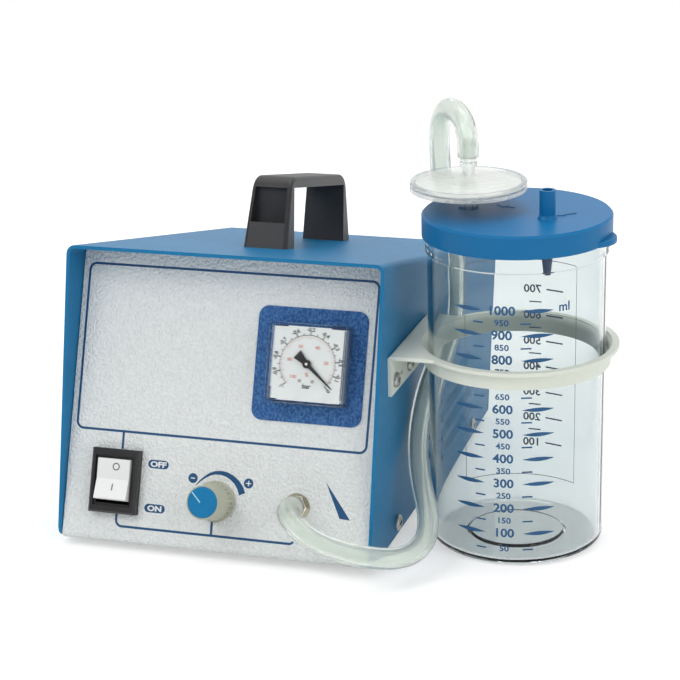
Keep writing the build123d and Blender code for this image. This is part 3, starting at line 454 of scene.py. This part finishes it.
def raised(name, line, place, height, surface, body):
    """A raised mark with upright sides: a closed line in millimetres, set by place(x, y, h)."""
    count = len(line)
    points = [place(x, y, 0.0) for x, y in line] + [place(x, y, height) for x, y in line]
    faces = [list(range(count, 2 * count))]
    for i in range(count):
        n = (i + 1) % count
        faces.append([i, n, count + n, count + i])
    mesh = bpy.data.meshes.new(name)
    mesh.from_pydata(points, [], faces)
    mesh.update()
    return new_piece(name, mesh, surface, body)


def turned(name, x, y, profile, surface, body):
    """A closed outline of (radius, height) turned about an upright axis."""
    steps = 32
    points, faces = [], []
    for k in range(steps):
        a = 2 * pi * k / steps
        points += [at(x + r * cos(a), y + r * sin(a), z) for r, z in profile]
    count = len(profile)
    for k in range(steps):
        here, there = k * count, (k + 1) % steps * count
        for i in range(count):
            n = (i + 1) % count
            faces.append([here + i, there + i, there + n, here + n])
    mesh = bpy.data.meshes.new(name)
    mesh.from_pydata(points, [], faces)
    mesh.update()
    for face in mesh.polygons:
        face.use_smooth = True
    return new_piece(name, mesh, surface, body)


def ribbon(line, width):
    """A band along a line, its width constant or one value for each point."""
    widths = width if isinstance(width, (list, tuple)) else [width] * len(line)
    points, faces = [], []
    for i, (x, y) in enumerate(line):
        before = line[max(i - 1, 0)]
        after = line[min(i + 1, len(line) - 1)]
        dx, dy = after[0] - before[0], after[1] - before[1]
        length = hypot(dx, dy)
        nx, ny = -dy / length * widths[i] / 2, dx / length * widths[i] / 2
        points += [(x + nx, y + ny), (x - nx, y - ny)]
        if i:
            faces.append([2 * i - 2, 2 * i - 1, 2 * i + 1, 2 * i])
    return points, faces


def arc_points(x, y, radius, start, end, steps):
    """Points along an arc, its angles in degrees."""
    angles = [radians(start + (end - start) * i / steps) for i in range(steps + 1)]
    return [(x + radius * cos(a), y + radius * sin(a)) for a in angles]


def round_box_line(x0, y0, x1, y1, radius):
    """A closed line round a rectangle with round corners."""
    line = arc_points(x1 - radius, y1 - radius, radius, 0, 90, 5)
    line += arc_points(x0 + radius, y1 - radius, radius, 90, 180, 5)
    line += arc_points(x0 + radius, y0 + radius, radius, 180, 270, 5)
    line += arc_points(x1 - radius, y0 + radius, radius, 270, 360, 5)
    return line + line[:1]


def filled(line):
    """One face whose outline is the line, with its last point joined to its first."""
    return list(line), [list(range(len(line)))]


def disc(x, y, radius):
    return filled(arc_points(x, y, radius, 0, 360, 24)[:-1])


# Places on the object

def on_panel(u, v, h):
    """A point on the front panel: u to the right, v up its slope, h out of it."""
    rake = radians(PANEL_RAKE)
    return at(u, v * sin(rake) - h * cos(rake), FOOT + v * cos(rake) + h * sin(rake))


def around(u, v, level):
    """Maps millimetres from a point of the panel to a level above it."""
    return lambda x, y: on_panel(u + x, v + y, level)


def jar_radius(z):
    return JAR_BASE_RADIUS + (JAR_TOP_RADIUS - JAR_BASE_RADIUS) * z / JAR_HEIGHT


def on_jar(angle, z, out):
    """A point on the jar's wall, its angle in degrees from -Y towards +X."""
    a = radians(angle)
    r = jar_radius(z) + out
    return at(JAR_X + r * sin(a), JAR_Y - r * cos(a), z)


# Hose

def route_points(route):
    """Points along the smooth line that a route steers, with no bevel on it."""
    curve = bpy.data.curves.new("route", "CURVE")
    curve.dimensions = "3D"
    curve.resolution_u = 14
    spline = curve.splines.new("NURBS")
    spline.points.add(len(route) - 1)
    for point, place in zip(spline.points, route):
        point.co = (*at(*place), 1)
    spline.order_u = 3
    spline.use_endpoint_u = True
    holder = bpy.data.objects.new("route", curve)
    mesh = bpy.data.meshes.new_from_object(holder)
    points = [v.co.copy() for v in mesh.vertices]
    bpy.data.objects.remove(holder)
    bpy.data.curves.remove(curve)
    bpy.data.meshes.remove(mesh)
    return points


def tube_mesh(name, path, outer, inner):
    """A tube with a bore, its rings carried along a path without twist."""
    steps = 28
    mesh = bpy.data.meshes.new(name)
    made = bmesh.new()
    across = None
    rings = []
    for i, point in enumerate(path):
        ahead = (path[min(i + 1, len(path) - 1)] - path[max(i - 1, 0)]).normalized()
        if across is None:
            across = ahead.orthogonal().normalized()
        across = (across - ahead * across.dot(ahead)).normalized()
        side = ahead.cross(across)
        ring = []
        for radius in (outer, inner):
            for k in range(steps):
                a = 2 * pi * k / steps
                ring.append(made.verts.new(point + (across * cos(a) + side * sin(a)) * radius))
        rings.append(ring)
    for first, second in zip(rings, rings[1:]):
        for k in range(steps):
            n = (k + 1) % steps
            made.faces.new((first[k], first[n], second[n], second[k]))
            made.faces.new((first[steps + n], first[steps + k], second[steps + k], second[steps + n]))
    for ring, flip in ((rings[0], True), (rings[-1], False)):
        for k in range(steps):
            n = (k + 1) % steps
            face = [ring[k], ring[n], ring[steps + n], ring[steps + k]]
            made.faces.new(face[::-1] if flip else face)
    made.normal_update()
    for face in made.faces:
        face.smooth = True
    made.to_mesh(mesh)
    made.free()
    return mesh


def add_hose():
    """The hose in two lengths that meet behind the bracket."""
    joint = tuple((a + b) / 2 for a, b in zip(HOSE_LOW_ROUTE[-1], HOSE_HIGH_ROUTE[0]))
    low_path = route_points(HOSE_LOW_ROUTE + [joint])
    high_path = route_points([joint] + HOSE_HIGH_ROUTE)
    pieces = []
    for name, path in (("hose_lower", low_path), ("hose_upper", high_path)):
        mesh = tube_mesh(name, path, HOSE_RADIUS * MM, HOSE_BORE * MM)
        piece = new_piece(name, mesh, MATERIALS["hose_silicone"], None)
        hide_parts("hose")
        pieces.append(piece)
    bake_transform(pieces[0])
    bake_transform(pieces[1])


# Print on the panel: places are millimetres to the right and up from its lower left corner

PRINT_LIFT = 0.05
LINE_WIDTH = 1.35
FRAME = (6.2, 64.4, 178.8, 159.0)
FRAME_CORNER = 4.0
LOWER_LINE = 10.7
SIGN_RADIUS = 2.8
SIGN_STROKE = 0.6
MINUS_SIGN = (79.2, 41.8)
PLUS_SIGN = (112.4, 41.8)
PILL_WIDTH = 12.4
PILL_HEIGHT = 4.8
PILL_CORNER = 2.3
PILLS = {"OFF": (57.8, 47.5), "ON": (57.6, 22.5)}
INLET_WEDGE = [(157.3, 46.8), (166.8, 27.3), (172.9, 27.0)]
REGULATOR_ARC = [
    (81.3, 38.1), (83.6, 40.7), (86.3, 43.0), (89.2, 44.9), (92.4, 46.0), (95.8, 46.2),
    (99.2, 45.6), (102.4, 44.1), (105.3, 41.9), (107.6, 38.9), (109.1, 35.5),
]
ARC_START_WIDTH = 0.35
ARC_SWELL = 3.6


def add_panel_lines():
    """The frame round the upper field, and the lines that join switch, knob and inlet."""
    bend = arc_points(38.3, 14.0, 3.4, 180, 270, 6)[1:]
    runs = [
        round_box_line(*FRAME, FRAME_CORNER),
        [(35.15, FRAME[1]), (35.2, 54.4)],
        [(34.8, 17.6), (34.8, 14.2), *bend, (139.5, LOWER_LINE), (141.2, 12.0)],
        [(92.6, 19.4), (92.6, LOWER_LINE)],
    ]
    shapes = [ribbon(run, LINE_WIDTH) for run in runs]
    place = around(0, 0, PRINT_LIFT)
    print_piece("panel_lines", shapes, place, PRINT["navy"], "case")


def pill(u, v):
    half_width, half_height = PILL_WIDTH / 2, PILL_HEIGHT / 2
    line = round_box_line(u - half_width, v - half_height, u + half_width, v + half_height, PILL_CORNER)
    return filled(line[:-1])


def add_panel_marks():
    """The regulator's swelling arc with its two signs, the inlet's wedge and the switch's pills."""
    last = len(REGULATOR_ARC) - 1
    swell = [ARC_START_WIDTH + ARC_SWELL * (i / last) ** 0.9 for i in range(last + 1)]
    marks = [ribbon(REGULATOR_ARC, swell)]
    marks += [disc(*sign, SIGN_RADIUS) for sign in (MINUS_SIGN, PLUS_SIGN)]
    marks += [pill(u, v) for u, v in PILLS.values()]
    marks.append(filled(INLET_WEDGE))
    place = around(0, 0, PRINT_LIFT)
    print_piece("panel_marks", marks, place, PRINT["navy"], "case")


def add_panel_words():
    """White words in the pills, and the strokes of the two signs."""
    minus_u, plus_u = MINUS_SIGN[0], PLUS_SIGN[0]
    sign_v = PLUS_SIGN[1]
    shapes = [letters(word, 4.2, u, v, bold=0.2, wide=1.3) for word, (u, v) in PILLS.items()]
    shapes += [
        ribbon([(minus_u - 1.2, sign_v), (minus_u + 1.2, sign_v)], SIGN_STROKE),
        ribbon([(plus_u - 1.5, sign_v), (plus_u + 1.5, sign_v)], SIGN_STROKE),
        ribbon([(plus_u, sign_v - 1.5), (plus_u, sign_v + 1.5)], SIGN_STROKE),
    ]
    place = around(0, 0, 2 * PRINT_LIFT)
    print_piece("panel_words", shapes, place, PRINT["white"], "case")


# Gauge print: places are millimetres from the needle's axis, levels are above the panel

GAUGE_U, GAUGE_V = 144.1, 110.7
DIAL_LEVEL = 9.8
HUB_LEVEL = 12.1
HUB_EYE_RADIUS = 0.75
SCALE_START = -47.0
SCALE_SWEEP = 270.0
SCALE_RADIUS = 16.0
SCALE_LINE = 0.34
LABEL_RADIUS = 19.1
INNER_LABEL_RADIUS = 10.7
PIN_RADIUS = 1.0
PIN_HEIGHT = 0.45
PIN_PLACES = ((-3.7, -9.4), (3.7, -9.4))
PRINT_HEIGHT = 0.05
# Painted light on the dial's edges: the height of its lines above the dial
PAINTED_EDGE_HEIGHT = 0.06
DIAL_EDGE = 20.3
# Width of the dark painted shade lines along the dial's edges
PAINTED_SHADE_WIDTH = 0.6


def on_dial(height):
    """Maps millimetres from the needle's axis to a height above the dial."""
    return around(GAUGE_U, GAUGE_V, DIAL_LEVEL + height)


def scale_angle(part):
    return SCALE_START + SCALE_SWEEP * part


def at_scale(part, radius):
    a = radians(scale_angle(part))
    return radius * cos(a), radius * sin(a)


def spoke(part, inner, outer, width):
    return ribbon([at_scale(part, inner), at_scale(part, outer)], width)


def add_dial_scale():
    """The black scale from 0 to -1 bar."""
    shapes = [ribbon(arc_points(0, 0, SCALE_RADIUS, scale_angle(0), scale_angle(1), 60), SCALE_LINE)]
    for i in range(21):
        reach, width = (1.9, 0.6) if i % 2 == 0 else (1.2, 0.38)
        shapes.append(spoke(i / 20, SCALE_RADIUS, SCALE_RADIUS + reach, width))
    labels = ["0"] + [f"-0.{i}" for i in range(1, 10)] + ["-1"]
    for i, label in enumerate(labels):
        upright = scale_angle(i / 10) - 90
        shapes.append(letters(label, 3.0, *at_scale(i / 10, LABEL_RADIUS), turn=upright, bold=0.11))
    shapes.append(letters("bar", 3.6, 0.3, -12.2, bold=0.12))
    print_piece("dial_scale", shapes, on_dial(PRINT_HEIGHT), PRINT["black"], "case")


def add_dial_inner_scale():
    """The red scale from 0 to 100 %."""
    shapes = []
    for i in range(51):
        reach = 2.3 if i % 5 == 0 else 1.6
        shapes.append(spoke(i / 50, SCALE_RADIUS - reach, SCALE_RADIUS - 0.4, 0.2))
    for i in range(1, 6):
        shapes.append(letters(str(20 * i), 2.6, *at_scale(i / 5, INNER_LABEL_RADIUS), bold=0.04))
    shapes.append(letters("%", 2.8, 0, -5.8, bold=0.06))
    print_piece("dial_inner_scale", shapes, on_dial(PRINT_HEIGHT), PRINT["red"], "case")


def add_dial_pins():
    pins = [disc(x, y, PIN_RADIUS) for x, y in PIN_PLACES]
    print_piece("dial_pins", pins, on_dial(PIN_HEIGHT), MATERIALS["screw_steel"], "case")


def add_dial_edges():
    """Dark lines of painted shade where the dial's edges meet the clear cap, and one white line of painted
    highlight on the lower edge.
    """
    edge = DIAL_EDGE
    # Painted shade: dark lines along parts of the dial's right, top and left edges and its lower left
    # corner
    painted_shade_lines = [
        ribbon([(edge, -18.5), (edge, 19.5)], 0.55),
        ribbon([(12.5, edge), (edge, edge)], PAINTED_SHADE_WIDTH),
        ribbon([(-edge, edge), (-12.5, edge)], PAINTED_SHADE_WIDTH),
        ribbon([(-edge, -edge), (-edge, -13.5)], PAINTED_SHADE_WIDTH),
        ribbon([(-edge, -edge), (-16.5, -edge)], PAINTED_SHADE_WIDTH),
    ]
    # Painted highlight: a white line along the dial's lower edge
    lit = [ribbon([(-14.5, -edge), (16.5, -edge)], 0.7)]
    print_piece("dial_painted_shade", painted_shade_lines, on_dial(PAINTED_EDGE_HEIGHT), PRINT["black"], "case")
    print_piece("dial_lit_edge", lit, on_dial(PAINTED_EDGE_HEIGHT), PRINT["white"], "case")


def add_needle_hub():
    """The pale eye of the needle's hub."""
    place = around(GAUGE_U, GAUGE_V, HUB_LEVEL)
    print_piece("needle_eye", [disc(0, 0, HUB_EYE_RADIUS)], place, PRINT["white"], "needle")


# Marks on the switch and the knob

ROCKER_U, ROCKER_V = 33.5, 36.0
ROCKER_TILT = -7.0
ROCKER_AXIS_LEVEL = -2.0
ROCKER_DIP_LEVEL = 8.9
ROCKER_RISE = 1.6
ROCKER_HALF = 11.65
ROCKER_LIFT = 0.06
KNOB_U, KNOB_V = 94.0, 30.1
KNOB_CAP_LEVEL = 22.45


def on_rocker(x, y):
    """A point on the rocker's face, which dips to its middle."""
    c, s = cos(radians(ROCKER_TILT)), sin(radians(ROCKER_TILT))
    z = ROCKER_DIP_LEVEL + ROCKER_RISE * abs(y) / ROCKER_HALF + ROCKER_LIFT
    return on_panel(ROCKER_U + x, ROCKER_V + y * c - z * s, ROCKER_AXIS_LEVEL + y * s + z * c)


def add_switch_marks():
    """The ring and the stroke on the rocker."""
    ring = arc_points(1.6, 7.2, 1.85, 0, 360, 28)
    stroke = [(0.5, -6.4), (0.5, -2.6)]
    shapes = [ribbon(ring, 0.6), ribbon(stroke, 0.7)]
    print_piece("rocker_marks", shapes, on_rocker, PRINT["grey"], "rocker")


def add_knob_line():
    place = around(KNOB_U, KNOB_V, KNOB_CAP_LEVEL)
    line = [ribbon([(-1.2, -0.1), (-6.4, 5.3)], 0.6)]
    print_piece("knob_line", line, place, PRINT["pale"], "knob")


# Print on the jar

JAR_PRINT_LIFT = 0.06
FRONT_ANGLE = 4.0
BACK_ANGLE = 182.0
FRONT_MARKS = 20
FIRST_MARK_HEIGHT = 10.7
SCALE_SIDE = 0.9
SCALE_LEAN = 0.011
LENS_INNER, LENS_OUTER, LENS_HEIGHT = 10.4, 28.8, 2.4
DASH_INNER, DASH_OUTER, DASH_WIDTH = 10.2, 16.0, 0.9
LABEL_LEFT, LABEL_RIGHT = 147.5, 231.5
LABEL_FOOT, LABEL_HEAD = 16.5, 147.5
LABEL_COLUMNS, LABEL_ROWS = 24, 8


def jar_place(centre_angle):
    """Maps millimetres round the jar and up it to the jar's wall."""
    return lambda x, z: on_jar(centre_angle + x / jar_radius(z) * 180 / pi, z, JAR_PRINT_LIFT)


def lens_mark(x0, x1, y):
    """A long mark with pointed ends."""
    steps = 10
    places = [(x0 + (x1 - x0) * i / steps, LENS_HEIGHT / 2 * sin(pi * i / steps)) for i in range(steps + 1)]
    upper = [(x, y + rise) for x, rise in places]
    lower = [(x, y - rise) for x, rise in places[-2:0:-1]]
    points = upper + lower
    count = len(points)
    faces = [[0, 1, count - 1]]
    for i in range(1, steps - 1):
        faces.append([i, i + 1, count - i - 1, count - i])
    faces.append([steps - 1, steps, steps + 1])
    return points, faces


def mark_height(ml):
    """The front scale's steps shrink a little, because the jar widens upwards."""
    if ml == 50:
        return FIRST_MARK_HEIGHT
    step = ml / 100
    return 5.2 + 14.95 * step - 0.06 * step * step


def back_height(ml):
    return 21.6 + 15.7 * ml / 100


def add_front_scale():
    """Long lens marks and large numbers at each 100 ml, dashes and small numbers between."""
    shapes = []
    for ml in range(50, 50 * FRONT_MARKS + 1, 50):
        z = mark_height(ml)
        middle = SCALE_SIDE - SCALE_LEAN * z
        if ml % 100 == 0:
            shapes.append(letters(str(ml), 7.0, middle, z, bold=0.2, wide=1.08))
            shapes.append(lens_mark(middle - LENS_OUTER, middle - LENS_INNER, z - 0.3))
            shapes.append(lens_mark(middle + LENS_INNER, middle + LENS_OUTER, z - 0.3))
        else:
            shapes.append(letters(str(ml), 4.7, middle, z, bold=0.12, wide=1.12))
            for side in (-1, 1):
                ends = sorted(middle + side * reach for reach in (DASH_INNER, DASH_OUTER))
                shapes.append(ribbon([(x, z - 0.4) for x in ends], DASH_WIDTH))
    shapes.append(letters("ml", 7.2, 34.2, 149.6, bold=0.15))
    print_piece("jar_scale_front", shapes, jar_place(FRONT_ANGLE), PRINT["jar"], "jar")


def add_back_scale():
    """A second scale on the far wall, which reads from behind."""
    shapes = []
    for ml in range(100, 701, 50):
        z = back_height(ml)
        if ml % 100 == 0:
            shapes.append(letters(str(ml), 6.6, 0, z, bold=0.16, wide=1.08))
            shapes.append(ribbon([(-19.6, z), (-8.4, z)], 0.9))
        else:
            shapes.append(ribbon([(-5.4, z), (2.0, z)], 0.8))
    print_piece("jar_scale_back", shapes, jar_place(BACK_ANGLE), PRINT["jar"], "jar")


def add_back_label():
    """The thin outline of a bare label on the far wall."""
    width, height = LABEL_RIGHT - LABEL_LEFT, LABEL_HEAD - LABEL_FOOT
    columns = [LABEL_LEFT + width * i / LABEL_COLUMNS for i in range(LABEL_COLUMNS + 1)]
    rows = [LABEL_FOOT + height * i / LABEL_ROWS for i in range(LABEL_ROWS + 1)]
    shapes = [ribbon([(x, z) for x in columns], 0.4) for z in (LABEL_FOOT, LABEL_HEAD)]
    shapes += [ribbon([(x, z) for z in rows], 0.45) for x in (LABEL_LEFT, LABEL_RIGHT)]
    place = lambda x, z: on_jar(x, z, JAR_PRINT_LIFT)
    print_piece("jar_label_outline", shapes, place, PRINT["label"], "jar")


# Lid

LID_TOP = 190.4
PORT_X, PORT_Y = 19.2, -10.8
ARROW_HEIGHT = 0.35
TAIL_OUTLINE = [(3.3, 180.5), (2.9, 166.5), (2.0, 158.8), (1.2, 158.8), (2.0, 166.5), (2.4, 180.5)]


def add_port_tail():
    """The spout's tapered tail, which hangs below the lid's skirt inside the jar, in a dark navy that
    paints the shade it lies in.
    """
    turned("port_tail", JAR_X + PORT_X, JAR_Y + PORT_Y, TAIL_OUTLINE, PRINT["tail_painted_shade"], "lid")


def arrow_line(x, y, length, width, turn):
    """The outline of an arrow that points along turn, in degrees."""
    c, s = cos(radians(turn)), sin(radians(turn))
    half, neck = length / 2, width * 0.3
    line = [
        (-half, -neck / 2), (half - width, -neck / 2), (half - width, -width / 2), (half, 0),
        (half - width, width / 2), (half - width, neck / 2), (-half, neck / 2),
    ]
    return [(x + px * c - py * s, y + px * s + py * c) for px, py in line]


def add_lid_marks():
    """Small raised arrows that show the way of the flow."""
    place = lambda x, y, h: at(JAR_X + x, JAR_Y + y, LID_TOP + h)
    arrows = {
        "lid_arrow_out": arrow_line(-8.5, 8.5, length=11.5, width=6.0, turn=160),
        "lid_arrow_in": arrow_line(27.5, -1.5, length=12.0, width=4.5, turn=222),
    }
    for name, line in arrows.items():
        raised(name, line, place, ARROW_HEIGHT, MATERIALS["lid_blue"], "lid")


# Surroundings

FLOOR_HALF = 6
FLOOR_DROP = 0.0004
FLOOR_GREY = 0.8
FLOOR_GLOW = 0.42
WORLD_LIGHT = 0.55
DARKEST_MIRRORED = (0.30, 0.31, 0.32)
DARKEST_UP_TO = 0.15
WHITE_FROM = 0.62


def add_floor():
    """A pale floor that keeps the object's shadow."""
    mesh = bpy.data.meshes.new("floor")
    made = bmesh.new()
    bmesh.ops.create_grid(made, x_segments=1, y_segments=1, size=FLOOR_HALF)
    made.to_mesh(mesh)
    made.free()
    floor = bpy.data.objects.new("floor", mesh)
    bpy.context.scene.collection.objects.link(floor)
    floor.location.z = -FLOOR_DROP
    surface = bpy.data.materials.new("floor")
    surface.use_nodes = True
    nodes, links = surface.node_tree.nodes, surface.node_tree.links
    nodes.clear()
    output = nodes.new("ShaderNodeOutputMaterial")
    diffuse = nodes.new("ShaderNodeBsdfDiffuse")
    diffuse.inputs["Color"].default_value = (FLOOR_GREY, FLOOR_GREY, FLOOR_GREY, 1)
    glow = nodes.new("ShaderNodeEmission")
    seen = seen_rays(nodes, links, "Is Camera Ray", "Is Glossy Ray", "Is Transmission Ray")
    level = nodes.new("ShaderNodeMath")
    level.operation = "MULTIPLY"
    level.inputs[1].default_value = FLOOR_GLOW
    links.new(seen, level.inputs[0])
    links.new(level.outputs[0], glow.inputs["Strength"])
    both = nodes.new("ShaderNodeAddShader")
    links.new(diffuse.outputs[0], both.inputs[0])
    links.new(glow.outputs[0], both.inputs[1])
    links.new(both.outputs[0], output.inputs["Surface"])
    mesh.materials.append(surface)


def seen_rays(nodes, links, *kinds):
    """1 for rays of the kinds named, such as those that show the background."""
    path = nodes.new("ShaderNodeLightPath")
    result = path.outputs[kinds[0]]
    for kind in kinds[1:]:
        either = nodes.new("ShaderNodeMath")
        either.operation = "MAXIMUM"
        links.new(result, either.inputs[0])
        links.new(path.outputs[kind], either.inputs[1])
        result = either.outputs[0]
    return result


def white_background(nodes, strength):
    made = nodes.new("ShaderNodeBackground")
    made.inputs["Color"].default_value = (1, 1, 1, 1)
    made.inputs["Strength"].default_value = strength
    return made


def add_world():
    """White where it is seen, plain where it lights, and darker at the front in reflections."""
    world = bpy.data.worlds.new("world")
    bpy.context.scene.world = world
    world.use_nodes = True
    nodes, links = world.node_tree.nodes, world.node_tree.links
    nodes.clear()
    output = nodes.new("ShaderNodeOutputWorld")
    lit = white_background(nodes, WORLD_LIGHT)
    shown = white_background(nodes, 1.0)
    mirrored = white_background(nodes, 1.0)
    direction = nodes.new("ShaderNodeTexCoord")
    parts = nodes.new("ShaderNodeSeparateXYZ")
    links.new(direction.outputs["Generated"], parts.inputs[0])
    shade_of = nodes.new("ShaderNodeValToRGB")
    bands = shade_of.color_ramp.elements
    bands[0].position = DARKEST_UP_TO
    bands[0].color = (*DARKEST_MIRRORED, 1)
    bands[1].position = WHITE_FROM
    bands[1].color = (1, 1, 1, 1)
    links.new(parts.outputs["Y"], shade_of.inputs["Fac"])
    links.new(shade_of.outputs["Color"], mirrored.inputs["Color"])
    first = nodes.new("ShaderNodeMixShader")
    links.new(seen_rays(nodes, links, "Is Glossy Ray"), first.inputs["Fac"])
    links.new(lit.outputs[0], first.inputs[1])
    links.new(mirrored.outputs[0], first.inputs[2])
    second = nodes.new("ShaderNodeMixShader")
    links.new(seen_rays(nodes, links, "Is Camera Ray", "Is Transmission Ray"), second.inputs["Fac"])
    links.new(first.outputs[0], second.inputs[1])
    links.new(shown.outputs[0], second.inputs[2])
    links.new(second.outputs[0], output.inputs["Surface"])


LAMPS = {
    "key": {"place": (-0.9, -1.4, 1.7), "aim": (0, 0, 0.08), "size": (1.2, 1.2), "power": 13},
    "fill": {"place": (1.6, -0.9, 0.9), "aim": (0, 0, 0.1), "size": (1.0, 1.4), "power": 8},
    "top": {"place": (0.1, 0.4, 1.9), "aim": (0, 0, 0), "size": (1.4, 1.0), "power": 13},
}


def add_lamp(name, place, aim, size, power):
    """A rectangular lamp at a place, turned to what it aims at."""
    data = bpy.data.lights.new(name, "AREA")
    data.shape = "RECTANGLE"
    data.size, data.size_y = size
    data.energy = power
    lamp = bpy.data.objects.new(name, data)
    bpy.context.scene.collection.objects.link(lamp)
    lamp.location = place
    lamp.rotation_euler = (Vector(aim) - Vector(place)).to_track_quat("-Z", "Y").to_euler()


add_camera()
add_hose()
dress_nodes()
add_panel_lines()
add_panel_marks()
add_panel_words()
add_dial_scale()
add_dial_inner_scale()
add_dial_pins()
add_dial_edges()
add_needle_hub()
add_switch_marks()
add_knob_line()
add_front_scale()
add_back_scale()
add_back_label()
add_port_tail()
add_lid_marks()
add_floor()
add_world()
for name, settings in LAMPS.items():
    add_lamp(name, **settings)

scene = bpy.context.scene
scene.view_settings.view_transform = "Standard"
scene.cycles.transparent_max_bounces = 16
scene.cycles.max_bounces = 16
scene.cycles.transmission_bounces = 14
